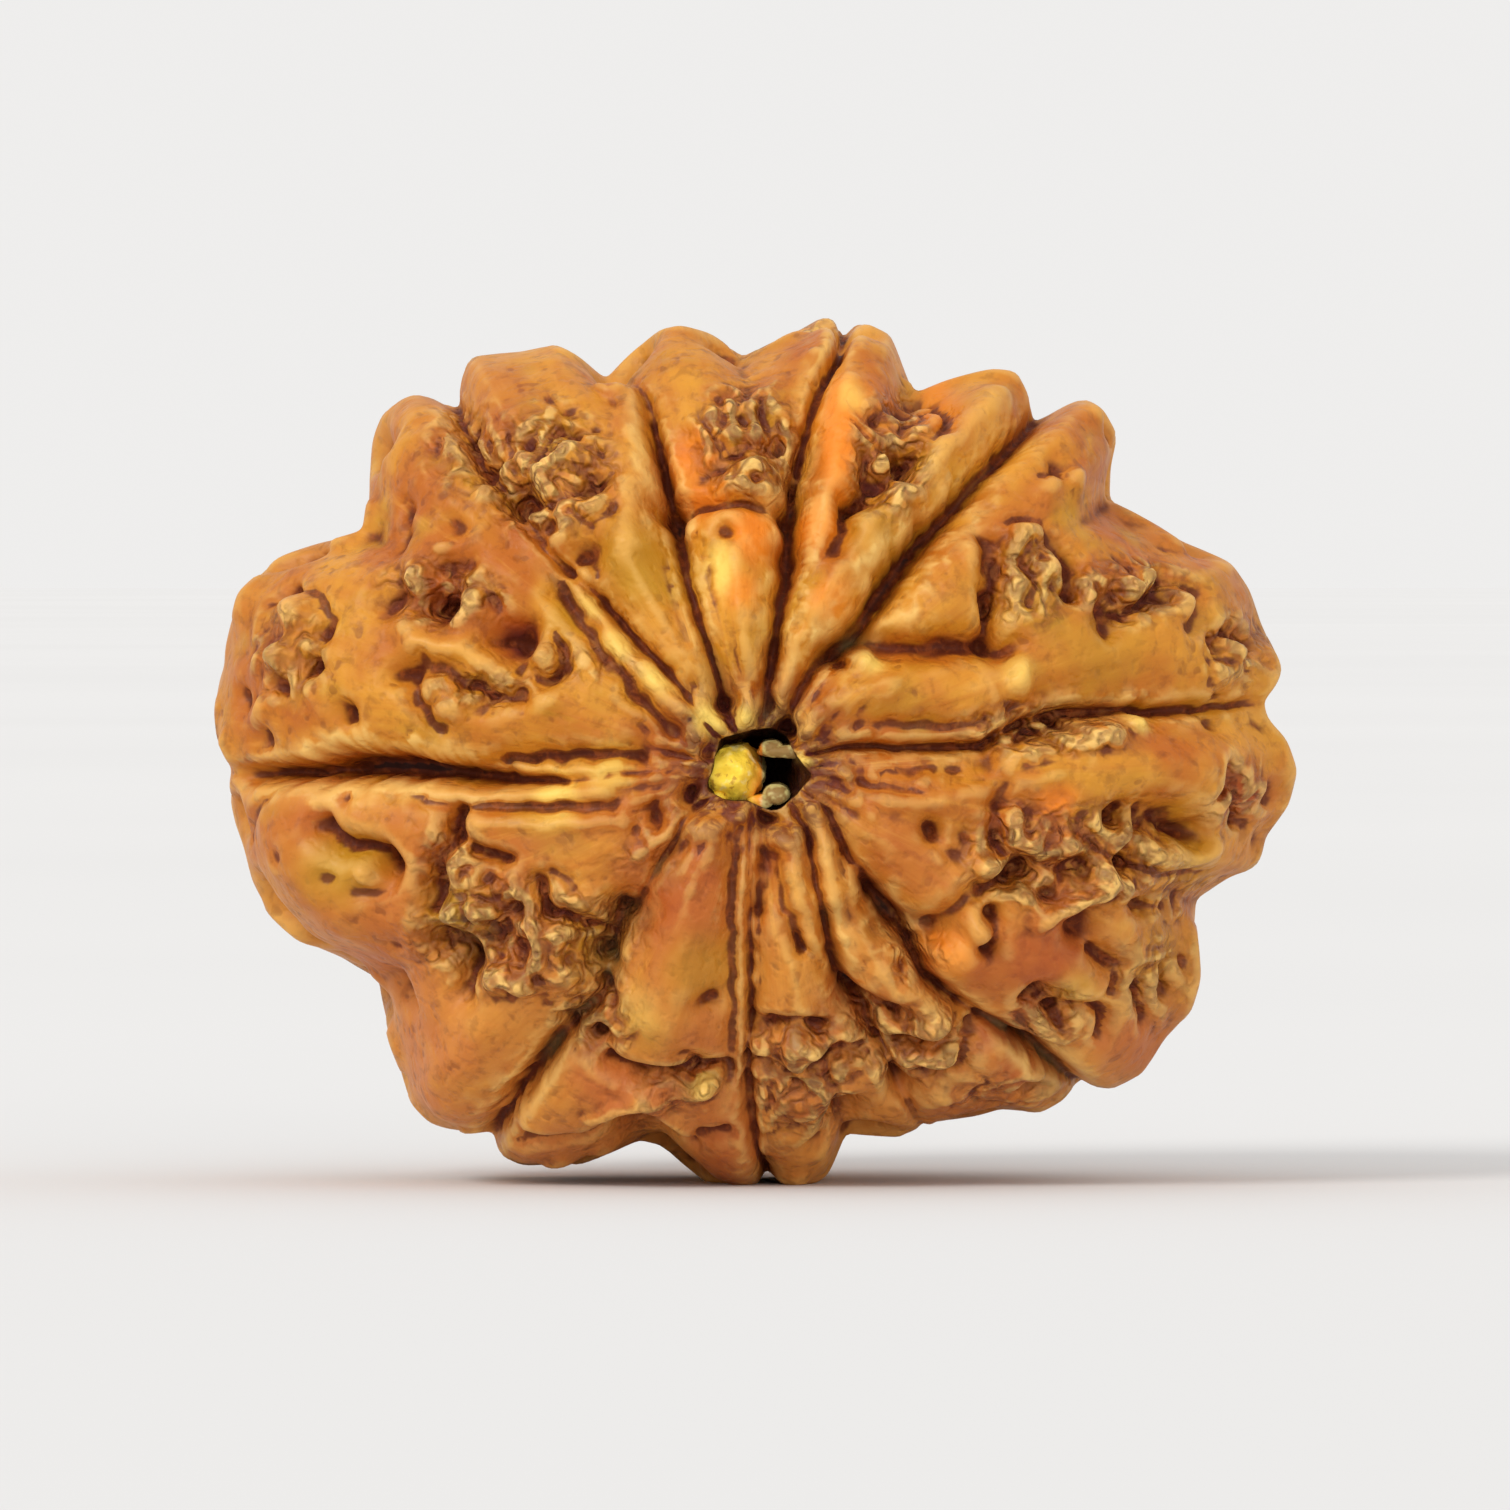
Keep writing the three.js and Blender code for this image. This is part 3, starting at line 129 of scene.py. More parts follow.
# Relief of the mouth side between the grooves, each row as width, height and the plan x and y of every
# point: raised ridges and nubs have a height above 0, sunken seams and pits one below it. A row with
# one point is a nub or a pit.
MARKS = [
    # round the mouth
    [0.3, 0.4, 700, 704], [0.26, 0.4, 742, 702], [0.28, -0.45, 786, 714], [0.28, -0.5, 696, 798],
    [0.28, 0.4, 812, 752], [0.28, 0.35, 686, 724], [0.28, 0.35, 742, 824], [0.32, 0.35, 706, 832],
    [0.26, -0.4, 768, 826], [0.28, 0.3, 816, 706], [0.26, -0.4, 722, 686], [0.26, -0.35, 770, 692],
    # left and upper left
    [0.3, -0.5, 400, 672, 425, 662, 460, 673, 500, 690, 522, 690],
    [0.28, -0.45, 412, 680, 420, 700, 440, 722], [0.28, -0.5, 522, 668, 548, 680, 566, 664, 562, 642],
    [0.45, 0.35, 425, 645, 470, 655, 515, 672, 545, 695],
    [0.3, 0.45, 575, 572, 610, 628, 640, 664, 662, 690, 684, 702],
    [0.25, -0.45, 556, 590, 580, 622, 605, 655, 640, 694, 676, 722],
    [0.25, -0.45, 505, 755, 545, 750, 600, 750, 640, 756], [0.25, 0.35, 450, 790, 520, 792, 604, 790],
    [0.25, -0.35, 460, 802, 530, 804, 612, 803], [0.25, 0.35, 470, 814, 540, 816, 625, 812],
    [0.45, 0.4, 628, 400, 632, 470, 636, 540], [0.8, 0.35, 622, 560, 650, 605, 672, 650],
    [0.6, 0.35, 305, 608], [0.4, -0.5, 312, 660], [0.35, -0.4, 245, 700], [0.32, -0.5, 283, 686],
    [0.36, -0.4, 262, 736], [0.38, -0.55, 345, 710], [0.35, 0.3, 286, 655], [0.35, 0.3, 265, 708],
    [0.3, -0.35, 325, 628], [0.3, -0.3, 290, 590], [0.38, 0.4, 456, 707], [0.35, -0.35, 486, 702],
    [0.62, -1.05, 440, 602], [0.75, -1.15, 516, 634], [0.45, -0.5, 392, 600], [0.35, 0.35, 418, 578],
    [0.36, 0.35, 414, 624], [0.4, 0.4, 468, 604], [0.4, 0.45, 545, 654], [0.4, -0.45, 492, 594],
    [0.36, -0.3, 644, 733], [0.38, -0.45, 390, 437], [0.38, -0.45, 408, 506], [0.4, -0.45, 404, 536],
    [0.4, -0.4, 456, 526], [0.42, -0.6, 445, 562], [0.35, -0.4, 470, 560], [0.3, 0.3, 447, 548],
    [0.5, -0.95, 512, 488], [0.4, -0.5, 565, 430], [0.42, -0.6, 590, 485], [0.4, -0.5, 544, 520],
    [0.4, -0.5, 462, 428], [0.4, -0.4, 475, 457], [0.36, -0.4, 530, 440], [0.4, 0.45, 545, 475],
    [0.4, 0.45, 595, 505], [0.4, 0.4, 556, 534], [0.4, 0.45, 610, 403], [0.36, 0.35, 570, 447],
    [0.36, 0.3, 480, 487], [0.36, 0.3, 520, 466], [0.36, 0.4, 578, 575], [0.42, -0.5, 586, 550],
    # top
    [0.3, -0.7, 662, 500, 700, 497, 772, 497], [0.85, 0.45, 728, 530, 735, 570, 742, 615],
    [0.22, 0.3, 692, 565, 704, 605, 726, 655], [0.55, 0.45, 842, 385, 834, 440, 826, 490, 812, 530],
    [0.85, 0.4, 802, 610, 836, 578, 868, 545], [0.32, -0.55, 850, 500, 846, 528, 834, 547],
    [0.38, -0.85, 850, 497, 875, 484, 898, 468, 915, 450], [0.6, 0.4, 900, 490, 945, 446, 992, 400],
    [0.28, -0.4, 920, 404, 936, 399, 949, 412, 940, 429], [0.45, -0.6, 668, 497], [0.6, -0.5, 710, 466],
    [0.36, 0.4, 757, 465], [0.3, 0.35, 744, 482], [0.36, 0.4, 766, 486], [0.4, -0.5, 795, 460],
    [0.4, -0.45, 735, 444], [0.38, -0.45, 775, 430], [0.38, -0.4, 750, 414], [0.32, -0.35, 728, 533],
    [0.5, -0.8, 870, 470], [0.4, -0.6, 900, 450], [0.3, 0.5, 866, 476], [0.3, 0.45, 889, 456],
    [0.4, -0.4, 880, 425], [0.32, 0.5, 858, 655], [0.36, -0.6, 838, 655], [0.42, 0.35, 1070, 483],
    [0.36, 0.3, 1044, 490], [0.36, -0.35, 1057, 468],
    # right
    [0.45, -0.95, 868, 640, 910, 644, 960, 641, 1004, 652], [0.8, 0.4, 895, 615, 935, 585, 962, 553],
    [0.3, -0.55, 986, 540, 984, 568, 994, 602, 984, 632],
    [0.3, 0.4, 1004, 556, 1014, 535, 1034, 531, 1046, 547], [0.3, -0.6, 1048, 545, 1068, 560, 1068, 592],
    [0.3, -0.6, 1104, 602, 1126, 609, 1150, 594, 1162, 574],
    [0.28, -0.45, 1164, 592, 1178, 580, 1196, 590, 1200, 608, 1186, 622],
    [0.25, 0.35, 845, 700, 862, 688, 884, 684], [0.9, 0.35, 850, 695, 920, 690, 980, 700],
    [0.25, -0.45, 1000, 733, 1030, 728, 1072, 724], [0.25, 0.4, 1000, 757, 1040, 742, 1080, 735, 1115, 728],
    [0.4, 0.3, 850, 795, 930, 795, 1000, 780, 1045, 770], [0.9, 0.45, 1090, 757, 1150, 757, 1205, 768],
    [0.45, -1.0, 1142, 812, 1170, 816, 1192, 830], [0.35, 0.35, 1146, 846, 1178, 856, 1206, 846],
    [0.25, -0.4, 1232, 775, 1236, 800, 1244, 822], [0.32, -0.5, 998, 560], [0.32, -0.55, 990, 602],
    [0.4, 0.4, 1054, 572], [0.36, 0.45, 1126, 590], [0.36, 0.4, 1145, 575], [0.38, -0.6, 1107, 622],
    [0.38, 0.35, 1180, 601], [0.32, -0.5, 1217, 647], [0.32, -0.4, 1230, 630], [0.32, -0.4, 1246, 640],
    [0.36, 0.35, 1232, 652], [0.4, 0.4, 1217, 670], [0.32, -0.45, 1226, 692], [0.42, 0.45, 1012, 664],
    [0.36, 0.35, 1017, 683], [0.32, 0.45, 1140, 718], [0.3, -0.5, 1221, 768], [0.3, -0.5, 1222, 786],
    [0.34, -0.4, 1268, 790], [0.4, -0.4, 1212, 718],
    # lower right
    [0.8, 0.3, 870, 835, 910, 870, 935, 890], [0.42, -0.95, 872, 895, 900, 922, 928, 926],
    [0.3, -0.55, 938, 918, 960, 892, 982, 878, 1006, 872, 1022, 856],
    [0.28, -0.4, 996, 790, 994, 830, 1000, 855],
    [0.3, 0.4, 1014, 830, 1036, 850, 1060, 846, 1086, 866, 1116, 882],
    [0.3, 0.4, 985, 866, 1005, 862, 1022, 844], [0.3, 0.45, 1034, 911, 1060, 903, 1088, 893],
    [0.28, 0.4, 1092, 822, 1112, 836, 1130, 814], [0.3, -0.5, 1012, 868, 1040, 868, 1064, 858],
    [0.28, -0.5, 924, 948, 928, 975, 950, 1000, 966, 1022], [0.4, -0.75, 850, 1004, 874, 1010, 906, 1018],
    [0.32, -0.8, 912, 1050, 936, 1048, 958, 1043], [0.6, 0.4, 880, 975, 918, 1000, 940, 1022],
    [0.28, 0.35, 915, 1063, 950, 1060, 968, 1040], [0.3, -0.55, 930, 1076, 960, 1064, 978, 1038],
    [0.45, 0.35, 815, 862, 832, 905, 846, 950], [0.3, -0.45, 1084, 1008, 1106, 1014, 1103, 1034],
    [0.26, -0.5, 1139, 984, 1147, 1014], [0.28, -0.5, 1164, 964, 1168, 994], [0.34, -0.4, 930, 826],
    [0.34, -0.25, 962, 832], [0.36, -0.3, 948, 856], [0.38, 0.4, 1006, 813], [0.42, -0.8, 1116, 812],
    [0.4, -0.6, 1123, 858], [0.4, -0.55, 1020, 858], [0.36, -0.6, 1080, 862], [0.36, 0.35, 1045, 874],
    [0.36, 0.4, 1090, 876], [0.36, -0.45, 1045, 887], [0.6, -0.9, 1082, 921], [0.34, -0.6, 988, 910],
    [0.4, 0.45, 974, 922], [0.36, -0.5, 984, 946], [0.6, 0.3, 956, 954], [0.45, -0.75, 1042, 992],
    [0.48, -0.8, 1060, 1013], [0.5, -0.6, 1045, 1050], [0.36, -0.65, 1030, 1090], [0.48, -0.45, 1112, 962],
    [0.36, -0.5, 1096, 950], [0.36, -0.4, 1142, 906], [0.32, -0.4, 1115, 990], [0.44, -0.75, 908, 1091],
    [0.5, 0.35, 936, 1092], [0.36, 0.35, 888, 1070], [0.36, -0.45, 990, 1036],
    # bottom
    [0.25, -0.4, 764, 830, 764, 870, 761, 905], [0.28, 0.35, 786, 868, 800, 900, 814, 936],
    [0.28, -0.45, 776, 862, 782, 896, 800, 944], [0.28, -0.45, 764, 1032, 798, 1026, 824, 1030],
    [0.28, -0.5, 832, 1056, 860, 1056], [0.3, -0.65, 608, 1062, 636, 1072, 688, 1077],
    [0.3, 0.4, 598, 1112, 620, 1098, 646, 1092, 668, 1106, 690, 1128],
    [0.25, -0.4, 684, 1050, 700, 1068, 722, 1076], [0.28, -0.4, 680, 1126, 704, 1134, 724, 1134],
    [0.28, -0.35, 520, 1133, 548, 1140, 574, 1136], [0.8, 0.35, 696, 870, 680, 940, 664, 1010],
    [0.36, -0.35, 707, 997], [0.72, -1.0, 634, 1118], [0.38, -0.5, 590, 1040], [0.4, 0.4, 712, 1086],
    [0.48, 0.35, 795, 1052], [0.5, -0.6, 812, 1071], [0.4, -0.4, 790, 1094], [0.32, -0.4, 768, 1066],
    [0.62, -0.85, 836, 1108], [0.4, -0.4, 815, 1145], [0.28, 0.4, 757, 1060], [0.32, -0.35, 793, 1132],
    # lower left
    [1.3, 0.55, 300, 850, 345, 905], [0.34, -0.8, 325, 825, 335, 835, 350, 842, 380, 846, 392, 862],
    [0.32, -0.65, 453, 806, 450, 836, 440, 856, 432, 900], [0.28, -0.5, 456, 838, 482, 850, 506, 856],
    [0.28, -0.6, 542, 880, 548, 906, 576, 918, 602, 936, 620, 904],
    [0.3, 0.45, 524, 896, 536, 916, 541, 946, 528, 976], [0.9, 0.3, 480, 1030, 455, 1070, 450, 1100],
    [0.32, 0.3, 640, 852, 664, 832, 684, 818], [0.62, -1.1, 465, 946], [0.42, -0.8, 440, 936],
    [0.42, -0.7, 464, 968], [0.5, -0.5, 461, 992], [0.34, -0.6, 520, 902], [0.48, -0.6, 500, 932],
    [0.5, -0.8, 590, 950], [0.5, 0.45, 460, 909], [0.4, 0.45, 490, 908], [0.4, 0.45, 566, 930],
    [0.48, 0.4, 500, 970], [0.36, 0.35, 530, 980], [0.6, -0.5, 632, 905], [0.55, -0.6, 405, 990],
    [0.34, -0.5, 386, 857],
]

# Finer lines and spots, which only show from close by: under each width and height, the points of
# every one of them as above.
FINE_MARKS = {
    (0.15, -0.35): [[880, 767, 955, 767], [1000, 800, 1012, 797, 1021, 808, 1022, 830]],
    (0.15, -0.3): [[548, 400, 566, 410], [570, 415, 594, 424], [552, 425, 580, 438], [584, 440, 602, 452]],
    (0.15, -0.25): [[948, 778, 980, 778]],
    (0.16, -0.4): [[1004, 722, 1020, 731, 1042, 724], [1010, 742, 1030, 738, 1054, 742]],
    (0.16, -0.35): [[445, 893, 470, 890, 500, 893], [526, 898, 530, 930, 528, 960],
        [500, 995, 520, 988, 540, 990], [560, 1020, 558, 1045],
        [1108, 586, 1120, 600, 1140, 602, 1154, 590], [1128, 572, 1140, 566, 1152, 572],
        [1050, 730, 1066, 724, 1080, 730], [1115, 978, 1116, 992]],
    (0.16, -0.3): [[860, 718, 920, 722, 980, 722], [1110, 833]],
    (0.16, -0.25): [[395, 790, 440, 800]],
    (0.17, -0.4): [[500, 905, 512, 925, 525, 950], [555, 868, 565, 876, 575, 883],
        [540, 1000, 565, 1008, 590, 1000], [858, 486, 868, 460, 880, 445], [486, 440, 490, 470],
        [526, 490, 548, 498, 566, 490], [570, 510, 594, 520, 610, 508],
        [920, 420, 924, 408, 936, 405, 947, 414, 946, 430, 934, 438], [955, 925, 970, 938, 985, 945],
        [925, 945, 922, 965, 930, 985, 950, 998, 957, 1006, 972, 1014], [798, 933, 803, 946],
        [730, 850, 730, 920, 731, 1000, 730, 1090], [776, 1026, 800, 1020, 822, 1030],
        [780, 1050, 784, 1076, 798, 1086], [912, 1049, 936, 1047, 958, 1042]],
    (0.17, -0.35): [[444, 776, 502, 778, 560, 779], [555, 577, 590, 612, 635, 649],
        [436, 905, 438, 885, 452, 872, 470, 866], [776, 636, 774, 664], [716, 398, 724, 415, 720, 436],
        [738, 400, 742, 420, 752, 434], [762, 396, 766, 418, 760, 440], [505, 430, 508, 470],
        [1040, 560, 1048, 584, 1066, 596], [1214, 636, 1228, 628, 1242, 636, 1244, 652],
        [1206, 655, 1210, 680, 1222, 688], [1236, 778, 1240, 800, 1236, 822], [820, 912, 823, 936],
        [518, 1139, 550, 1137, 582, 1134], [806, 1050, 826, 1062, 830, 1084],
        [870, 1050, 884, 1072, 896, 1090]],
    (0.17, -0.3): [[568, 566, 600, 598, 640, 636, 668, 668], [1040, 474, 1056, 476, 1066, 490],
        [1160, 868, 1195, 868]],
    (0.18, -0.45): [[804, 838, 806, 870], [1145, 825, 1160, 835, 1175, 830, 1200, 835]],
    (0.18, -0.4): [[470, 682, 495, 692, 526, 699], [442, 401, 455, 430, 471, 468],
        [470, 845, 485, 850, 510, 855], [655, 803, 665, 815], [998, 556, 996, 574],
        [1000, 545, 1012, 520, 1034, 520, 1042, 534], [1018, 560, 1030, 580, 1026, 600],
        [990, 905, 991, 935], [1139, 985, 1145, 1015], [1165, 972, 1168, 996], [555, 1019, 569, 1056]],
    (0.18, -0.35): [[405, 668, 425, 655, 463, 661, 500, 676, 539, 690],
        [555, 628, 558, 650, 555, 674, 539, 678], [453, 808, 455, 835], [1035, 843, 1060, 848, 1080, 855]],
    (0.18, -0.3): [[378, 764, 435, 760, 520, 753, 578, 751, 640, 752]],
    (0.18, -0.25): [[850, 777, 885, 783, 918, 787]],
    (0.19, -0.35): [[756, 872, 758, 930, 756, 990, 755, 1050, 757, 1100]],
    (0.2, -0.5): [[585, 925, 600, 938, 617, 905], [1120, 803, 1112, 812, 1106, 819], [700, 742]],
    (0.2, -0.45): [[608, 1058, 638, 1067, 680, 1070, 720, 1074]],
    (0.2, -0.4): [[271, 600, 288, 591, 322, 596, 334, 617, 326, 633], [712, 640, 720, 668, 728, 700],
        [650, 405, 655, 450, 664, 492], [844, 498, 842, 524], [983, 591, 990, 620, 986, 649],
        [1026, 855, 1020, 872, 1000, 878, 978, 886], [1130, 903, 1142, 905, 1160, 903],
        [1026, 1018, 1036, 1034], [1085, 1004, 1100, 1006, 1108, 1016, 1100, 1034],
        [592, 1130, 615, 1111, 642, 1100, 665, 1116, 693, 1139], [598, 985, 606, 1005], [490, 920],
        [545, 908], [612, 965], [540, 972], [637, 828], [757, 474], [868, 474], [1085, 861], [510, 1086]],
    (0.2, -0.35): [[840, 862, 846, 900, 860, 915, 880, 934], [1095, 950, 1108, 957, 1120, 962], [259, 701],
        [488, 872], [1118, 842], [1045, 862], [1060, 876], [1221, 770], [1222, 786], [692, 1064],
        [712, 1070]],
    (0.2, -0.3): [[285, 782, 268, 795, 258, 815, 253, 835], [437, 925, 437, 955], [340, 793], [925, 530]],
    (0.2, -0.25): [[365, 885, 380, 888, 395, 882], [402, 940], [1148, 960]],
    (0.22, -0.5): [[462, 940, 462, 985], [1029, 1000, 1042, 990, 1055, 996],
        [828, 968, 836, 982, 848, 1000]],
    (0.22, -0.4): [[593, 1041], [726, 690], [768, 693], [896, 452], [1003, 779], [905, 961], [1179, 958]],
    (0.22, -0.35): [[1240, 815]],
    (0.22, -0.3): [[242, 692], [263, 732]],
    (0.24, -0.6): [[593, 955]],
    (0.24, -0.5): [[376, 764, 440, 768, 500, 766], [862, 1006]],
    (0.24, -0.4): [[434, 598], [655, 812], [1060, 572], [1047, 888], [1030, 1090]],
    (0.24, -0.35): [[349, 707], [830, 835], [900, 1018]],
    (0.24, -0.3): [[340, 872]],
    (0.24, -0.25): [[293, 848], [725, 529]],
    (0.24, -0.2): [[704, 994]],
    (0.26, -0.6): [[250, 774, 300, 769, 318, 767], [692, 791]],
    (0.26, -0.45): [[843, 850]],
    (0.26, -0.4): [[313, 663], [1123, 858]],
    (0.26, -0.35): [[927, 828]],
    (0.28, -0.6): [[767, 821]],
    (0.28, -0.4): [[838, 660], [604, 996]],
    (0.3, -0.5): [[1068, 1012]],
    (0.3, -0.35): [[411, 997]],
    (0.3, -0.3): [[498, 636], [522, 640]],
    (0.34, -1.0): [[786, 716]],
    (0.34, -0.6): [[789, 720]],
    (0.4, -0.8): [[318, 767, 345, 761, 376, 764]],
    (0.15, 0.25): [[452, 940, 452, 985], [478, 940, 478, 985]],
    (0.16, 0.3): [[748, 640, 752, 668], [790, 640, 784, 668], [676, 535, 684, 594, 700, 650],
        [730, 402, 734, 430], [752, 398, 756, 424], [850, 730, 915, 733, 985, 730],
        [740, 870, 741, 930, 741, 1000]],
    (0.16, 0.35): [[540, 905, 538, 930, 540, 955], [558, 905, 560, 930, 558, 955], [793, 832, 793, 852],
        [520, 500, 536, 512, 556, 512], [1116, 580, 1130, 590, 1148, 582], [1002, 734, 1024, 742],
        [1084, 728, 1112, 722], [850, 1040, 862, 1066, 880, 1084]],
    (0.17, 0.3): [[462, 769, 530, 769, 600, 768]],
    (0.17, 0.35): [[820, 768, 842, 768], [1006, 548, 1016, 533, 1030, 536],
        [1005, 835, 1022, 842, 1030, 850], [995, 888, 1010, 886, 1022, 893], [1122, 824, 1130, 812],
        [512, 1080, 500, 1104]],
    (0.18, 0.3): [[830, 692, 842, 680], [742, 884]],
    (0.18, 0.35): [[822, 880, 835, 900]],
    (0.2, 0.3): [[853, 865, 855, 895], [272, 678], [720, 720], [905, 525], [1158, 828], [742, 1076]],
    (0.2, 0.35): [[662, 838, 678, 827, 692, 818], [1045, 1022, 1060, 1042], [259, 724], [608, 632],
        [648, 665], [660, 682], [420, 585], [446, 584], [460, 618], [430, 617], [474, 936], [686, 697],
        [808, 718], [758, 690], [846, 668], [776, 458], [894, 474], [940, 771], [922, 774], [1089, 726],
        [1108, 735], [1028, 752], [1050, 712], [915, 976], [812, 938]],
    (0.2, 0.4): [[1060, 835, 1085, 855, 1105, 868, 1115, 880],
        [1035, 915, 1050, 908, 1065, 905, 1085, 893, 1092, 890], [1045, 874], [1090, 875], [498, 1108]],
    (0.22, 0.3): [[694, 760], [311, 644], [280, 696], [345, 775], [430, 690], [1180, 608], [1256, 788],
        [744, 1050]],
    (0.22, 0.35): [[700, 724], [590, 594], [560, 1008], [700, 694], [694, 726], [818, 671], [803, 746],
        [772, 834], [708, 798], [1050, 481], [1066, 481], [1137, 577], [1040, 570], [1078, 580],
        [812, 1046]],
    (0.22, 0.4): [[487, 908], [510, 893], [590, 937], [742, 706], [742, 827], [764, 466], [1006, 813]],
    (0.22, 0.45): [[1137, 716]],
    (0.24, 0.3): [[1090, 1011]],
    (0.24, 0.35): [[528, 980], [460, 845], [450, 870], [933, 421], [1012, 534], [1127, 591], [1228, 642],
        [1214, 668], [794, 1040], [796, 1066], [814, 1082]],
    (0.24, 0.4): [[455, 912], [812, 810], [749, 458], [1115, 830]],
    (0.24, 0.45): [[882, 462]],
    (0.26, 0.25): [[965, 905]],
    (0.26, 0.3): [[452, 707], [870, 990]],
    (0.26, 0.35): [[263, 663], [442, 678], [1012, 687]],
    (0.26, 0.4): [[858, 655]],
    (0.26, 0.45): [[373, 868], [568, 928]],
    (0.28, 0.35): [[284, 654], [1012, 663]],
    (0.3, 0.35): [[543, 649], [612, 403], [1150, 812], [702, 1084]],
    (0.32, 0.25): [[992, 865]],
    (0.32, 0.35): [[710, 708]],
    (0.32, 0.45): [[975, 926]],
    (0.36, 0.35): [[500, 968]],
    (0.4, 0.2): [[301, 608]],
    (0.4, 0.3): [[705, 835]],
    (0.4, 0.35): [[560, 970]],
    (0.55, 0.3): [[955, 952]],
}

# The rim's outer face and the far side: scattered pits and short winding ridges.
SIDE_PITS = 190
SIDE_RIDGES = 230
SEED = 10601

# Where the mouth side is broken up into small crags: plan x, plan y, radius across, radius down, share.
CRAGS = [
    [440, 590, 65, 38, 0.8], [545, 470, 75, 60, 1.0], [480, 685, 62, 24, 0.6], [295, 650, 45, 60, 0.55],
    [748, 438, 58, 55, 1.0], [888, 455, 42, 62, 1.0], [1025, 580, 45, 55, 0.7], [1125, 588, 70, 35, 0.8],
    [1230, 650, 34, 45, 0.6], [1040, 725, 90, 28, 1.0], [1060, 850, 110, 55, 1.0], [1230, 790, 40, 45, 0.6],
    [1150, 970, 45, 60, 0.5], [1055, 1015, 45, 40, 0.6], [905, 1045, 75, 45, 0.8], [800, 1075, 60, 65, 0.9],
    [680, 1080, 60, 30, 0.6], [520, 930, 110, 60, 1.0], [590, 1015, 50, 50, 0.7], [460, 450, 45, 60, 0.5],
    [755, 755, 100, 85, 0.5], [450, 860, 35, 50, 0.7], [915, 950, 40, 40, 0.5], [640, 1115, 60, 25, 0.4],
    [590, 660, 70, 26, 0.5], [640, 850, 50, 30, 0.4], [1160, 885, 60, 40, 0.5], [1000, 1090, 70, 26, 0.45],
]

# Patches of another tone on the mouth side, and the straw spots of painted highlight, in the same form. The
# radius is one number or two.
TONES = {
    "red": [
        [1035, 955, 50, 0.6], [880, 835, 55, 0.4], [1150, 1055, 36, 0.5], [960, 1105, 60, 20, 0.5],
        [600, 1060, 50, 0.35], [445, 600, 28, 0.8], [515, 635, 26, 0.9], [850, 1005, 30, 0.7],
        [500, 405, 40, 0.4], [1015, 1045, 30, 0.9], [1238, 790, 30, 0.8], [670, 905, 40, 0.5],
        [900, 850, 70, 0.4], [1000, 960, 60, 0.5], [740, 1160, 40, 0.5],
    ],
    "gold": [
        [640, 560, 45, 0.7], [455, 905, 35, 0.8], [1076, 986, 20, 0.8], [1155, 955, 30, 50, 0.5],
        [1100, 640, 45, 0.5], [700, 960, 35, 0.5], [880, 530, 40, 0.7], [350, 860, 35, 0.8],
        [590, 950, 30, 0.6], [640, 1030, 30, 0.4], [1180, 850, 35, 0.6],
    ],
    "orange": [
        [752, 530, 20, 30, 0.9], [738, 590, 18, 0.6], [838, 440, 16, 60, 1.0], [950, 952, 20, 0.8],
        [1050, 798, 18, 0.8], [820, 520, 24, 0.7], [845, 410, 30, 0.6], [700, 490, 30, 0.5],
        [935, 410, 22, 0.5], [690, 450, 26, 0.6], [830, 600, 20, 0.5],
    ],
    # straw_highlight: painted highlights on lit ridges, nubs and groove walls.
    "straw_highlight": [
        [719, 570, 14, 28, 0.9], [712, 706, 16, 1.0], [742, 702, 12, 0.8], [805, 752, 9, 0.8],
        [620, 640, 16, 0.6], [660, 672, 16, 0.7], [555, 792, 24, 0.8], [610, 764, 26, 0.5],
        [1012, 670, 18, 0.45], [1140, 718, 12, 0.7], [590, 600, 14, 0.5], [850, 400, 14, 0.5],
        [700, 1075, 18, 0.5], [640, 1005, 26, 0.3], [870, 660, 12, 0.7],
    ],
    "grey": [
        [632, 925, 20, 0.7], [602, 972, 20, 0.8], [572, 1020, 20, 0.7], [542, 1070, 18, 0.6],
        [856, 640, 14, 0.7], [1022, 1040, 20, 0.6], [1050, 1078, 18, 0.8], [838, 905, 14, 0.6],
        [876, 928, 16, 0.6], [668, 870, 16, 0.5], [700, 705, 14, 0.4], [760, 705, 16, 0.5],
        [468, 925, 26, 36, 0.6], [555, 836, 36, 18, 0.4],
    ],
}


def clamp(value, low, high):
    return np.minimum(np.maximum(value, low), high)


def mix(a, b, share):
    return a + (b - a) * share


def ramp(low, high, value):
    share = clamp((value - low) / (high - low), 0.0, 1.0)
    return share * share * (3 - 2 * share)


def dice(seed):
    """A repeatable row of numbers from 0 to 1."""
    state = seed
    while True:
        state = state * 16807 % 2147483647
        yield state / 2147483647


def to_polar(points):
    """Plan points to bearing and radius round the canal."""
    across = (points[:, 0] - PLAN_AXIS[0]) * MM
    up = (PLAN_AXIS[1] - points[:, 1]) * MM
    return np.arctan2(up, across), np.hypot(across, up)


def off_axis(points):
    """Distance of points from the straight line through both poles."""
    return np.hypot(points[:, 0], points[:, 2])


def rim_table():
    """The rim's radius at even bearings, with the corners of its traced line rounded a little."""
    rounding = 0.013
    bearing = np.linspace(-math.pi, math.pi, 4096, endpoint=False)
    traced = np.interp(bearing, *to_polar(np.array(RIM, float)), period=2 * math.pi)
    turn = bearing[1] - bearing[0]
    offsets = np.arange(-24, 25)
    weights = np.exp(-((offsets * turn / rounding) ** 2))
    rounded = sum(w * np.roll(traced, k) for w, k in zip(weights, offsets)) / weights.sum()
    return bearing, rounded


RIM_BEARING, RIM_RADIUS = rim_table()


def rim_radius(bearing):
    """Radius of the rim, with its notches."""
    return np.interp(bearing, RIM_BEARING, RIM_RADIUS, period=2 * math.pi)


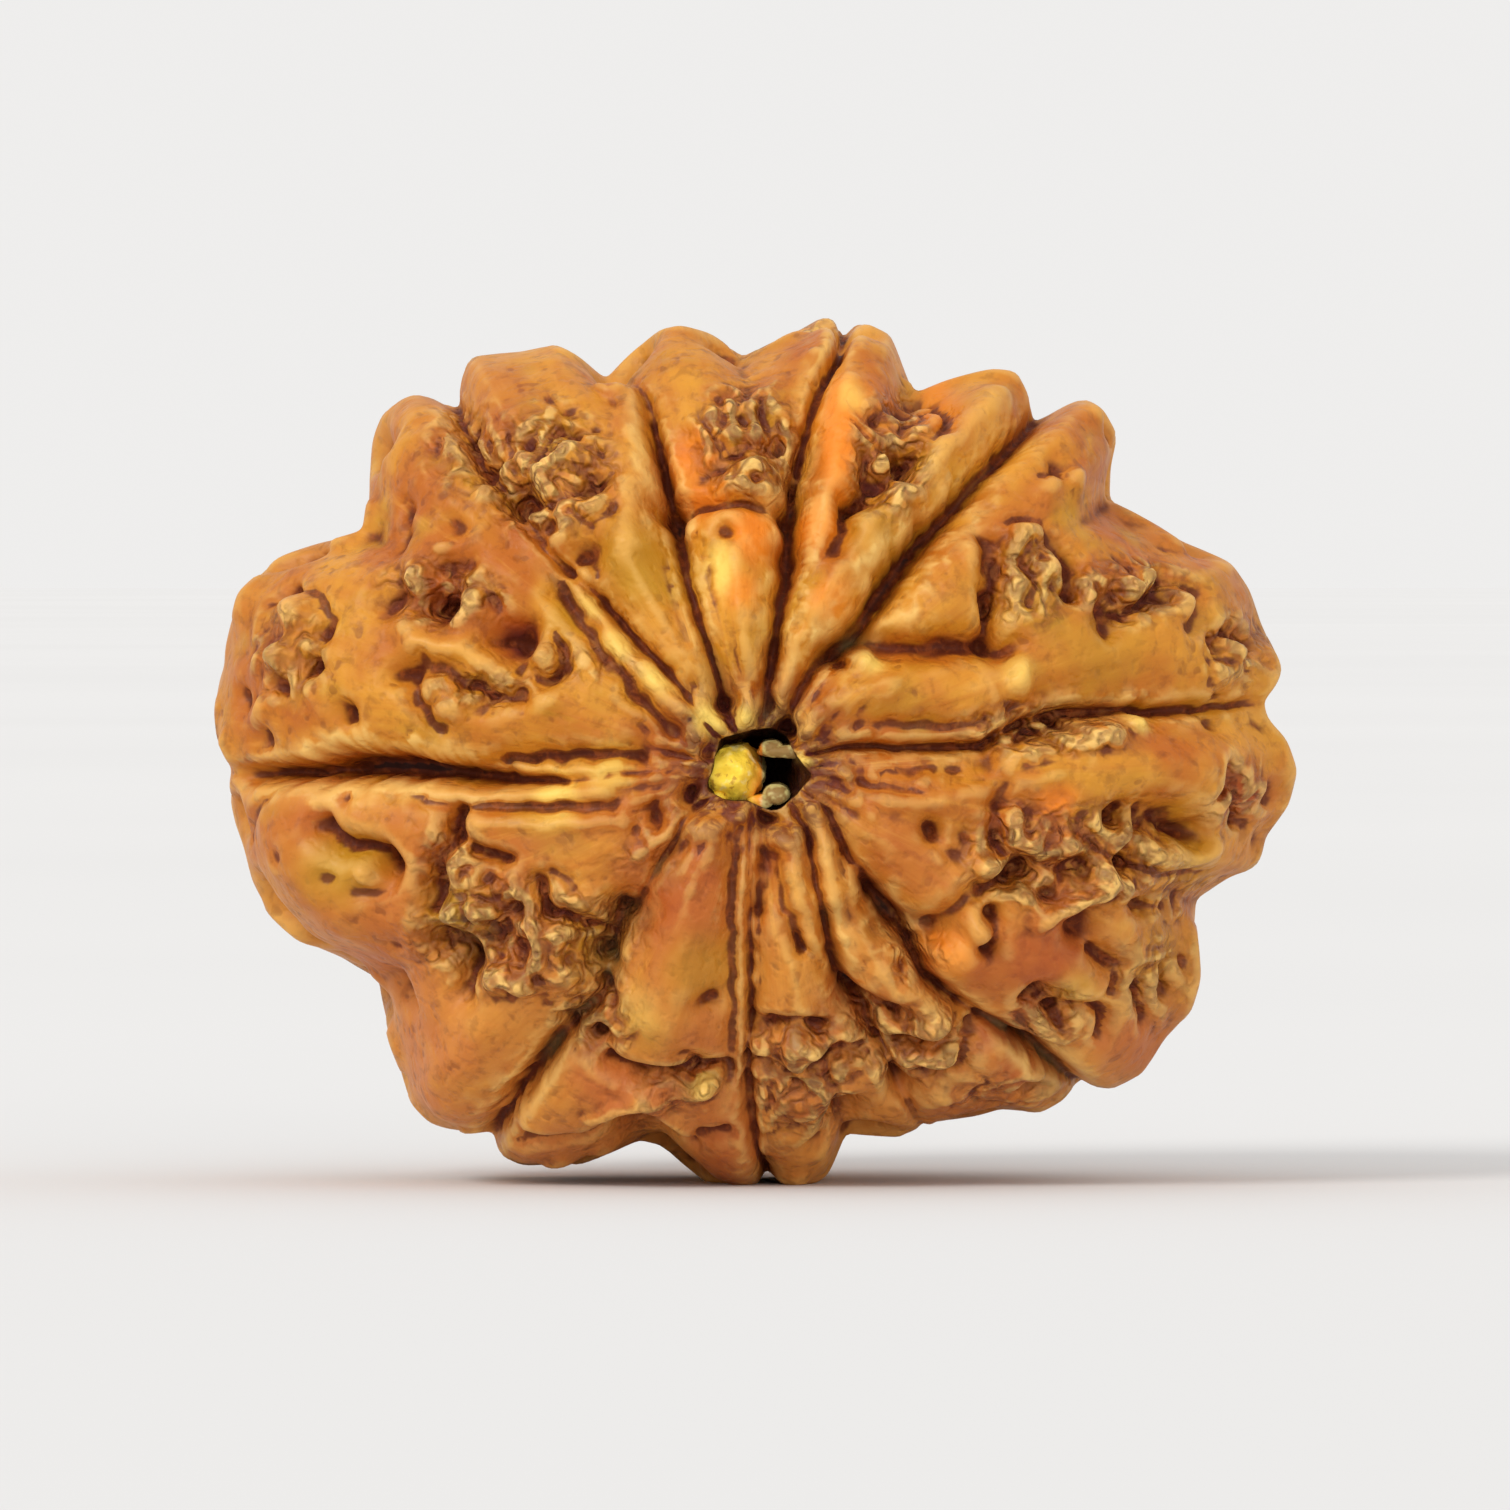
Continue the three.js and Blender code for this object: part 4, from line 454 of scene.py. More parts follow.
def crest_radius(bearing):
    """Radius of the plain envelope that the lobes' crests reach."""
    return sum(rim_radius(bearing + k * 0.03) for k in range(-8, 9)) / 17 + 0.3


def plan_radius(bearing, reach):
    """Radius of the plan outline at a given reach, 0 at the canal and 1 at the rim."""
    plain = mix(PLAIN_RADIUS, crest_radius(bearing), ramp(0.08, 0.35, reach))
    return mix(plain, rim_radius(bearing), ramp(*NOTCHED, reach))


def far_share(latitude):
    """0 on the mouth side and 1 on the far side, where the mesh is coarser."""
    return ramp(1.0, 1.35, latitude)


def reach_at(latitude):
    return np.maximum(np.sin(latitude * math.pi / 2), 0.0) ** FULLNESS


def body_point(bearing, latitude):
    """Points of the plain body. Latitude is 0 at the near pole, 1 at the rim and 2 at the far pole."""
    reach = reach_at(latitude)
    along = np.abs(np.cos(latitude * math.pi / 2)) ** FULLNESS
    wander = 0.06 * np.sin(14 * latitude + 4 * np.sin(3 * bearing)) * ramp(1.0, 1.1, latitude)
    radius = reach * plan_radius(bearing + wander, reach)
    sunk = DIMPLE_DEPTH * np.exp(-((radius / DIMPLE_RADIUS) ** 2))
    side = np.where(latitude < 1, -1.0, 1.0)
    y = side * (HALF_LENGTH * along - sunk)
    return np.stack([radius * np.cos(bearing), y, radius * np.sin(bearing)], axis=-1)


def body_normal(bearing, latitude):
    """Outward directions of the plain body."""
    turn = latitude * math.pi / 2
    power = 2 - FULLNESS
    out = np.maximum(np.sin(turn), 0.0) ** power / PLAIN_RADIUS
    along = np.where(latitude < 1, -1.0, 1.0) * np.abs(np.cos(turn)) ** power / HALF_LENGTH
    normal = np.stack([out * np.cos(bearing), along, out * np.sin(bearing)], axis=-1)
    return normal / np.linalg.norm(normal, axis=-1, keepdims=True)


def on_face(points):
    """Plan points to bearing and latitude on the mouth side."""
    bearing, radius = to_polar(np.array(points, float))
    reach = np.minimum(radius / crest_radius(bearing), 1.0)
    for _ in range(6):
        reach = clamp(radius / plan_radius(bearing, reach), 0.0, 1.0)
    return bearing, np.arcsin(reach ** (1 / FULLNESS)) * 2 / math.pi


def chain_on_face(line):
    """A plan line, x and y in turn, as points on the plain body, close enough to follow its curve."""
    longest = 40
    corners = list(zip(line[::2], line[1::2]))
    points = corners[:1]
    for (x0, y0), (x1, y1) in zip(corners, corners[1:]):
        pieces = math.ceil(math.hypot(x1 - x0, y1 - y0) / longest)
        points += [(mix(x0, x1, k / pieces), mix(y0, y1, k / pieces)) for k in range(1, pieces + 1)]
    return body_point(*on_face(points))


def distance_to_chain(points, chain):
    """Distance of each point from the nearest stretch of a chain, or from its one point."""
    best = np.full(len(points), np.inf)
    if len(chain) == 1:
        return np.linalg.norm(points - chain[0], axis=1)
    for a, b in zip(chain, chain[1:]):
        step = b - a
        off = points - a
        share = clamp(off @ step / max(step @ step, 1e-9), 0.0, 1.0)
        gap = off - share[:, None] * step
        best = np.minimum(best, np.einsum("ij,ij->i", gap, gap))
    return np.sqrt(best)


class Groove:
    """A main groove, which knows its bearing at any latitude from the near mouth to the far one."""

    def __init__(self, width, depth, far_bearing, line):
        self.width, self.depth = width, depth
        bearing, self.latitude = on_face([point[:2] for point in line])
        self.open = [point[2] for point in line]
        self.bearing = np.unwrap(bearing)
        far = math.radians(far_bearing) - self.bearing[-1]
        self.turn = math.atan2(math.sin(far), math.cos(far))
        latitude = np.arange(0.03, 1.97, 0.05)
        self.chain = body_point(self.at(latitude), latitude)

    def at(self, latitude):
        near = np.interp(latitude, self.latitude, self.bearing)
        return np.where(latitude >= 1, self.bearing[-1] + self.turn * ramp(1.0, 2.0, latitude), near)

    def open_at(self, latitude):
        """How open the groove is: traced on the mouth side, and wide again on the far side."""
        return mix(np.interp(latitude, self.latitude, self.open), 0.85, ramp(1.02, 1.3, latitude))


grooves = [Groove(*row) for row in GROOVES]


def side_features():
    """Pits and winding ridges of the rim's outer face and the far side: width, height and chain."""
    features = []
    roll = dice(SEED)
    for i in range(SIDE_PITS + SIDE_RIDGES):
        raised = i >= SIDE_PITS
        bearing = next(roll) * 2 * math.pi
        latitude = math.acos(mix(0.24, -0.985, next(roll))) * 2 / math.pi
        heading = next(roll) * 2 * math.pi
        chain = []
        for _ in range(4 if raised else 1 + math.floor(1.6 * next(roll))):
            chain.append(body_point(np.array(bearing), np.array(latitude)))
            heading += 1.6 * (next(roll) - 0.5)
            around = max(math.hypot(chain[-1][0], chain[-1][2]), 2.0)
            bearing += 0.9 * math.cos(heading) / around
            latitude = min(max(latitude + 0.05 * math.sin(heading), 0.84), 1.94)
        width = (0.36 if raised else 0.44) + 0.25 * next(roll)
        height = 0.35 + 0.3 * next(roll) if raised else -0.5 - 0.6 * next(roll)
        features.append((width, height, np.array(chain)))
    return features


def all_features():
    """Every seam, ridge, nub and pit: width, height and chain."""
    features = [(width, height, chain_on_face(line)) for width, height, *line in MARKS]
    features += [(*size, chain_on_face(line)) for size, lines in FINE_MARKS.items() for line in lines]
    return features + side_features()


GRADIENTS = np.random.default_rng(SEED).normal(size=(256, 3))
GRADIENTS /= np.linalg.norm(GRADIENTS, axis=1, keepdims=True)
CELL_PRIMES = np.array([73856093, 19349663, 83492791])
SALT_STEP = 2654435


def gradient_at(cell, salt):
    """The direction that belongs to each cell of a lattice."""
    x, y, z = (cell * CELL_PRIMES).T
    return GRADIENTS[(x ^ y ^ z ^ salt * SALT_STEP) >> 3 & 255]


def noise(points, scale, salt=0):
    """Smooth gradient noise, about -1 to 1. Scale is in waves a millimetre."""
    place = points * scale
    cell = np.floor(place).astype(np.int64)
    part = place - cell
    fade = part**3 * (part * (part * 6 - 15) + 10)
    total = np.zeros(len(points))
    for corner in np.ndindex(2, 2, 2):
        slope = gradient_at(cell + corner, salt)
        weight = np.prod(np.where(corner, fade, 1 - fade), axis=1)
        total += weight * np.einsum("ij,ij->i", slope, part - corner)
    return total * 1.7


def plan_blobs(base, rows):
    """Soft patches on the mouth side, from rows of plan x and y, radius (one or two) and share."""
    x = PLAN_AXIS[0] + base[:, 0] / MM
    y = PLAN_AXIS[1] - base[:, 2] / MM
    total = np.zeros(len(base))
    for middle_x, middle_y, *radii, share in rows:
        off = ((x - middle_x) / radii[0]) ** 2 + ((y - middle_y) / radii[-1]) ** 2
        total = np.maximum(total, share * np.exp(-(off**1.5)))
    return total * (base[:, 1] < 1.0)


def crag_share(base):
    """How far the surface is broken up into crags, from the listed zones in front and noise behind."""
    front = plan_blobs(base, CRAGS)
    loose = ramp(-0.1, 0.5, noise(base, 0.22, 3)) * 0.9
    behind = ramp(-4.0, 0.5, base[:, 1])
    return mix(front, loose, behind)


def groove_relief(base, latitude):
    """The main grooves: how far they sink, and how near the surface lies to a groove's lip."""
    reach = reach_at(latitude)
    near_mouth = ramp(1.2, 6.5, off_axis(base))
    valley_width = mix(0.35, VALLEY_WIDTH, near_mouth)
    valley_depth = mix(0.25, VALLEY_DEPTH, near_mouth) * (1 - ramp(*NOTCHED, reach))
    slit_share = mix(0.5, 0.8, near_mouth) * (1 - 0.7 * ramp(0.9, 1.0, reach))
    sunk = np.zeros(len(base))
    lip = np.zeros(len(base))
    waver = 1 + 0.35 * noise(base, 0.9, 11) + 0.35 * noise(base, 2.4, 12)
    for groove in grooves:
        d = distance_to_chain(base, groove.chain)
        opened = groove.open_at(latitude) * (1 + 0.3 * noise(base, 0.7, 13))
        half = SLIT_SHARE * groove.width * mix(0.55, 1.0, near_mouth) * (0.5 + 0.5 * opened) * waver
        slit = (1 - ramp(0.25, 1.2, d / half)) * groove.depth * slit_share * opened
        valley = valley_depth * ramp(-0.1, 0.5, opened) * np.exp(-((d / valley_width) ** 2))
        sunk = np.maximum(sunk, valley + slit)
        lip = np.maximum(lip, opened * np.exp(-(((d - LIP_AT * half) / LIP_WIDTH) ** 2)))
    return sunk, lip


def nubs(points, scale, salt):
    """Round nubs strewn evenly, one in each cell of a jittered lattice: 1 on a nub, 0 between them."""
    jitter = 0.42
    place = points * scale
    cell = np.floor(place).astype(np.int64)
    nearest = np.full(len(points), 9.0)
    for corner in np.ndindex(3, 3, 3):
        at = cell + corner - 1
        gap = place - at - 0.5 - jitter * gradient_at(at, salt)
        nearest = np.minimum(nearest, np.einsum("ij,ij->i", gap, gap))
    return 1 - ramp(0.1, 0.7, np.sqrt(nearest))


def flow_of(base, latitude):
    """A place on the skin in which lengths along a lobe count less than lengths across it."""
    bearing = np.arctan2(base[:, 2], base[:, 0])
    return np.stack([9 * np.cos(bearing), 9 * np.sin(bearing), 13 * latitude], axis=1)


def swirled(base, amount, scale, salts):
    """Points pushed about by noise, so that what is drawn with them comes out crooked."""
    return base + amount * np.stack([noise(base, scale, salt) for salt in salts], axis=1)


def marks_relief(base):
    """The traced lines and spots, and those strewn on the far side. Narrow ones are made shallower."""
    extra = np.zeros(len(base))
    warped = swirled(base, 0.1, 1.5, (24, 25, 26))
    for width, rise, chain in features:
        fine = mix(0.5, 1.0, min(max((width - 0.15) / 0.15, 0.0), 1.0))
        width = math.hypot(width, FINEST)
        middle = chain.mean(axis=0)
        ball = np.linalg.norm(chain - middle, axis=1).max() + 2.5 * width
        near = np.flatnonzero(np.einsum("ij,ij->i", base - middle, base - middle) < ball * ball)
        d = distance_to_chain(warped[near], chain)
        extra[near] += fine * rise * np.exp(-((d / width) ** 2))
    return extra


def crag_relief(base):
    """Crooked ridges, winding worms and nubs of the craggy zones."""
    swirl = swirled(base, 0.3, 0.9, (21, 22, 23))
    ridges = 1 - 2.4 * np.abs(noise(swirl, 1.15, 31))
    worms = np.cos(9 * noise(swirl, 0.5, 35) + 3 * noise(swirl, 1.1, 36))
    grit = 0.13 * nubs(swirl, 1.4, 33) + 0.04 * nubs(swirl, 2.4, 34)
    return 0.1 * ridges + 0.15 * worms + grit - 0.12


def relief(base, latitude):
    """Height of the relief above the plain body, the share of crags and the nearness of a groove's lip."""
    rim = 1 - ramp(0.0, 0.1, np.abs(latitude - 1))
    radius = off_axis(base)
    sunk, lip = groove_relief(base, latitude)
    crags = crag_share(base) * (1 - 0.5 * rim)
    extra = marks_relief(base) + crags * crag_relief(base)
    extra += 0.07 * noise(base, 0.5, 41) + 0.035 * noise(base, 1.3, 42) + 0.014 * noise(base, 3.1, 43)
    torn = (1 - ramp(2.2, 4.2, radius)) * ramp(0.5, 1.1, radius)
    extra += torn * (0.16 * nubs(base, 2.0, 37) + 0.14 * noise(base, 1.9, 38) - 0.08)
    beaded = lip * ramp(-0.2, 0.3, noise(base, 0.45, 39))
    extra += beaded * (0.2 * nubs(base, 1.9, 40) - 0.09)
    fluted = ramp(1.2, 1.7, radius) * (1 - ramp(2.8, 5.2, radius))
    extra += FLUTE_HEIGHT * flutes(base, radius) * fluted
    height = 0.08 * lip * (1 - rim) - sunk + extra * (1 - 0.55 * rim)
    return clamp(height, LOWEST, HIGHEST), crags, lip


def flutes(base, radius):
    """Thin ridges and furrows that run out from either mouth, about -1 to 1."""
    turn = FLUTES / (2 * math.pi) * base / np.maximum(radius, 0.1)[:, None]
    turn[:, 1] = 0.35 * radius + np.where(base[:, 1] < 0, 0.0, 20.0)
    return noise(turn, 1.0, 71) + 0.5 * noise(turn, 2.0, 72)


def keep_outline(height, base, normal, bearing):
    """Keeps the relief behind the rim from standing out past the rim's own outline."""
    outward = np.maximum(off_axis(normal), 0.15)
    room = (rim_radius(bearing) - off_axis(base)) / outward + 0.02
    over = (height - room) / ROUNDING
    return height - ROUNDING * np.logaddexp(0.0, over)


# Distance of the first rows of vertices from a main groove's floor, so that its walls run smoothly.
GROOVE_ROWS = np.array([0.0, 0.07, 0.14, 0.21, 0.29, 0.38])


def stretch_bearings(latitude, step):
    """Bearings round one ring, stretch by stretch: each stretch starts on a main groove."""
    at = [float(groove.at(latitude)) for groove in grooves]
    rows = GROOVE_ROWS * step / FRONT_STEP
    stretches = []
    for i, start in enumerate(at):
        end = start + (at[(i + 1) % len(at)] - start) % (2 * math.pi)
        middle = body_point((start + end) / 2, latitude)
        span = (end - start) * math.hypot(middle[0], middle[2])
        inner = span - 2 * rows[-1]
        if inner > 4 * step:
            count = round(inner / step)
            plain = rows[-1] + inner * np.arange(1, count) / count
            walk = np.concatenate([rows, plain, span - rows[:0:-1]])
        else:
            count = max(2, round(span / step))
            walk = span * np.arange(count) / count
        stretches.append(start + (end - start) * walk / span)
    return stretches


def surface_rings():
    """Latitude and bearings of every ring, from the near mouth over the rim to the far one."""
    mouth = 0.039  # latitude at which the mouth opens
    walk = np.arange(mouth, 2 - mouth, 0.0002)
    line = body_point(np.full(len(walk), 0.3), walk)
    walked = np.concatenate([[0.0], np.cumsum(np.linalg.norm(np.diff(line, axis=0), axis=1))])
    rings = []
    target = 0.0
    for latitude, length in zip(walk, walked):
        if length >= target:
            step = float(mix(FRONT_STEP, BACK_STEP, far_share(latitude)))
            rings.append((latitude, stretch_bearings(latitude, step)))
            target = length + step
    return rings


def canal_ring(mouth, depth):
    """A ring inside the canal, scaled from a mouth ring and shifted with the canal's bow."""
    own = off_axis(mouth)
    side = np.where(mouth[:, 1] < 0, 1.0, -1.0)
    wanted = mix(own, CANAL_RADIUS, ramp(0.0, 2.0, np.array(depth)))
    y = mouth[:, 1] + side * depth
    bow = -CANAL_BEND * ramp(*BOWED, np.abs(y))
    return np.stack([mouth[:, 0] * wanted / own + bow, y, mouth[:, 2] * wanted / own], axis=1)


def zip_stretch(a, b, faces):
    """Triangles between two neighbouring rows of vertices that may differ in number."""
    p = q = 0
    last_p, last_q = len(a) - 1, len(b) - 1
    while p < last_p or q < last_q:
        if q == last_q or (p < last_p and (p + 1) * len(b) < (q + 1) * len(a)):
            faces.append((a[p], b[q], a[p + 1]))
            p += 1
        else:
            faces.append((a[p], b[q], b[q + 1]))
            q += 1


def ring_faces(counts):
    """Triangles of the whole skin. counts holds the points in each stretch of each ring."""
    rings = []
    start = 0
    for ring in counts:
        rows = []
        for count in ring:
            rows.append(list(range(start, start + count)))
            start += count
        rings.append(rows)
    faces = []
    for r, ring in enumerate(rings):
        other = rings[(r + 1) % len(rings)]
        for i, row in enumerate(ring):
            after = (i + 1) % len(ring)
            zip_stretch(row + [ring[after][0]], other[i] + [other[after][0]], faces)
    return np.array(faces, dtype=np.int32)


def spread(values, pairs, times):
    """Values smoothed over the mesh by averaging each vertex with its neighbours."""
    a, b = pairs
    share = np.bincount(a, minlength=len(values))
    for _ in range(times):
        values = 0.5 * values + 0.5 * np.bincount(a, values[b], len(values)) / share
    return values


def smoothed(vertices, pairs, times):
    """The vertices' places, each drawn towards its neighbours."""
    return np.stack([spread(vertices[:, axis], pairs, times) for axis in range(3)], axis=1)


def sink(vertices, normal, pairs, times):
    """How far each vertex lies below its smoothed surroundings, along its normal: above 0 in a hollow."""
    return np.einsum("ij,ij->i", smoothed(vertices, pairs, times) - vertices, normal)


def blunt(vertices, pairs):
    """Rounds off the sharpest points that stand out from the skin."""
    off = smoothed(vertices, pairs, 4) - vertices
    outward = vertices / np.array([WIDTH / 2, HALF_LENGTH, WIDTH * 0.4]) ** 2
    share = clamp(1 - BLUNTED / np.maximum(np.linalg.norm(off, axis=1), BLUNTED), 0.0, 1.0)
    share *= np.einsum("ij,ij->i", off, outward) < 0
    vertices += off * share[:, None]


def bead_skin():
    """The bead's vertices in millimetres, its triangles, and the values that its finish uses."""
    rings = surface_rings()
    counts = [[len(stretch) for stretch in stretches] for _, stretches in rings]
    bearing = np.concatenate([np.concatenate(stretches) for _, stretches in rings])
    latitude = np.concatenate([np.full(sum(n), ring[0]) for n, ring in zip(counts, rings)])
    base = body_point(bearing, latitude)
    height, crags, lip = relief(base, latitude)
    normal = body_normal(bearing, latitude)
    height = keep_outline(height, base, normal, bearing)
    skin = base + normal * height[:, None]
    near = skin[: sum(counts[0])]
    far = skin[-sum(counts[-1]):]
    # rows of the canal's wall: close together behind either mouth and wider apart between them
    inner = [(far, counts[-1], depth) for depth in np.arange(0.15, 2.6, 0.2)]
    inner += [(near, counts[0], depth) for depth in np.arange(11.4, 2.6, -0.6)]
    inner += [(near, counts[0], depth) for depth in np.arange(2.4, 0.05, -0.12)]
    canal = np.concatenate([canal_ring(mouth, depth) for mouth, _, depth in inner])
    vertices = np.concatenate([skin, canal])
    faces = ring_faces(counts + [count for _, count, _ in inner])
    base = np.concatenate([base, canal])

    def with_canal(values, in_canal):
        return np.concatenate([values, np.full(len(canal), in_canal)])

    inside = with_canal(np.zeros(len(skin)), 1.0)
    height, crags, lip = with_canal(height, -1.2), with_canal(crags, 0.4), with_canal(lip, 0.0)
    return vertices, faces, height, crags, lip, base, with_canal(latitude, 0.0), inside


def ragged_mouth(vertices):
    """Pushes the two mouths and the canal out of round."""
    radius = off_axis(vertices)
    turn = vertices / np.maximum(radius, 0.1)[:, None]
    turn[:, 1] = 0.25 * vertices[:, 1]
    push = 0.3 * noise(turn, 0.9, 61) + 0.1 * noise(turn, 2.2, 62)
    inner = 1 - ramp(1.3, 3.4, radius)
    vertices[:, 0] *= 1 + push * inner
    vertices[:, 2] *= (1 + push * inner) * (1 - MOUTH_SQUASH * inner)


def seat(vertices):
    """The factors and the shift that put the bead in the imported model's box, with its foot on the ground."""
    low, high = (np.array(corner) * 1000 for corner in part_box("bead"))
    least, most = vertices.min(axis=0), vertices.max(axis=0)
    across, along = (high[:2] - low[:2]) / (most[:2] - least[:2])
    fit = np.array([across, along, across])
    shift = (low + high) / 2 - fit * (least + most) / 2
    shift[2] = -across * (PLAN_AXIS[1] - FLOOR) * MM
    return fit, shift


def add_object(name, data):
    made = bpy.data.objects.new(name, data)
    bpy.context.scene.collection.objects.link(made)
    return made


def add_field(mesh, name, values):
    """A value at each vertex, which the material reads by its name."""
    mesh.attributes.new(name, "FLOAT", "POINT").data.foreach_set("value", values.astype(np.float32))


def add_piece(name, vertices, faces, material):
    """A smooth piece from vertices in millimetres, riding on the bead's one body."""
    mesh = bpy.data.meshes.new(name)
    mesh.from_pydata((vertices / 1000).tolist(), [], faces.tolist())
    mesh.update()
    mesh.shade_smooth()
    mesh.materials.append(material)
    piece = add_object(name, mesh)
    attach(piece, "root")
    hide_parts("bead")
    return piece


def make_bead():
    """Builds the stone. Returns how it was fitted and shifted, which the pith in its mouth follows."""
    vertices, faces, height, crags, lip, base, latitude, inside = bead_skin()
    ends = np.concatenate([faces[:, [0, 1]], faces[:, [1, 2]], faces[:, [2, 0]]])
    pairs = (np.concatenate([ends[:, 0], ends[:, 1]]), np.concatenate([ends[:, 1], ends[:, 0]]))
    blunt(vertices, pairs)
    fit, shift = seat(vertices)
    ragged_mouth(vertices)
    placed = vertices * fit + shift
    placed[:, 2] = np.maximum(placed[:, 2], 0.0)
    piece = add_piece("bead_stone", placed, faces, stone_material())
    normal = np.empty(len(placed) * 3, np.float32)
    piece.data.vertices.foreach_get("normal", normal)
    normal = normal.reshape(-1, 3)
    coarse = far_share(latitude)
    # crack, hollow and valley: how far the skin sinks below its surroundings; the finish paints shade where it
    # sinks and highlight where it stands out.
    crack = sink(placed, normal, pairs, 4) * mix(1.0, 0.35, coarse)
    hollow = sink(placed, normal, pairs, 45) * mix(1.0, 0.55, coarse)
    valley = spread(height, pairs, 300) - height
    mesh = piece.data
    fields = {
        "crack": crack, "hollow": hollow, "valley": valley, "crags": crags, "lip": lip, "inside": inside,
        # rim marks where the painted highlight round the outline goes.
        "mouth": 1 - ramp(1.2, 3.3, off_axis(base)), "rim": np.exp(-(((latitude - 1.0) / 0.13) ** 2)),
    }
    fields.update({name: plan_blobs(base, rows) for name, rows in TONES.items()})
    for name, values in fields.items():
        add_field(mesh, name, values)
    flow = mesh.attributes.new("flow", "FLOAT_VECTOR", "POINT")
    flow.data.foreach_set("vector", flow_of(base, latitude).astype(np.float32).ravel())
    return fit, shift


def peg(x, y, radius, tip, stretch, salt):
    """A rounded fibrous peg in the mouth: plan x and y, radius, where its tip is and how wide it is."""
    root = -4.9
    around, rows = max(16, round(60 * radius * math.sqrt(stretch))), max(24, round(70 * radius))
    turn = np.arange(around) * 2 * math.pi / around
    depth = mix(tip, root, np.linspace(0, 1, rows) ** 1.6)
    cap = np.minimum((depth - tip) / (1.1 * radius), 1.0)
    across = radius * np.sqrt(1 - (1 - cap) ** 2)[:, None]
    grid = np.broadcast_arrays(across * np.cos(turn), depth[:, None], across * np.sin(turn))
    points = np.stack(grid, axis=-1).reshape(-1, 3) * [stretch, 1.0, 1.0]
    bumps = 0.14 * noise(points, 1.6, salt) + 0.07 * noise(points * [1, 0.4, 1], 4.5, salt + 1)
    swell = 1 + bumps * min(1.0, 1.4 * radius) / radius
    points = points * np.stack([swell, np.ones_like(swell), swell], axis=1)
    points[:, 1] += 0.2 * radius * noise(points, 2.6, salt + 2)
    points += [(x - PLAN_AXIS[0]) * MM, 0, (PLAN_AXIS[1] - y) * MM]
    points[:around] = points[:around].mean(axis=0)
    return closed_tube(points, rows, around)


def closed_tube(points, rows, around):
    """A tube's points and triangles. Its first row is one point, and its last gets a point to close it."""
    index = np.arange(rows * around).reshape(rows, around)
    a, b = index[:-1], index[1:]
    a2, b2 = np.roll(a, -1, axis=1), np.roll(b, -1, axis=1)
    halves = [np.stack(corners, axis=-1).reshape(-1, 3) for corners in ((a, a2, b), (a2, b2, b))]
    faces = np.concatenate(halves)
    first = faces < around
    faces = np.where(first, 0, faces)[first.sum(axis=1) < 2]
    last = index[-1]
    lid = np.stack([last, np.roll(last, -1), np.full(around, len(points))], axis=1)
    points = np.concatenate([points, points[-around:].mean(axis=0, keepdims=True)])
    used, faces = np.unique(np.concatenate([faces, lid]), return_inverse=True)
    return points[used], faces.reshape(-1, 3)


# Dried pith in the mouth, the stub and the crumbs round it: plan x, plan y, radius, tip and stretch across.
PEGS = [
    [732, 769, 0.76, -8.25, 1.0], [776, 790, 0.28, -7.95, 1.2], [760, 797, 0.2, -7.95, 1.8],
    [786, 748, 0.17, -7.95, 4.2], [770, 744, 0.2, -7.9, 1.5], [716, 797, 0.28, -8.0, 1.0],
]


def make_pith(fit, shift):
    points, faces, start = [], [], 0
    for i, row in enumerate(PEGS):
        some, joined = peg(*row, salt=51 + 3 * i)
        points.append(some)
        faces.append(joined + start)
        start += len(some)
    add_piece("pith_stub", np.concatenate(points) * fit + shift, np.concatenate(faces), pith_material())


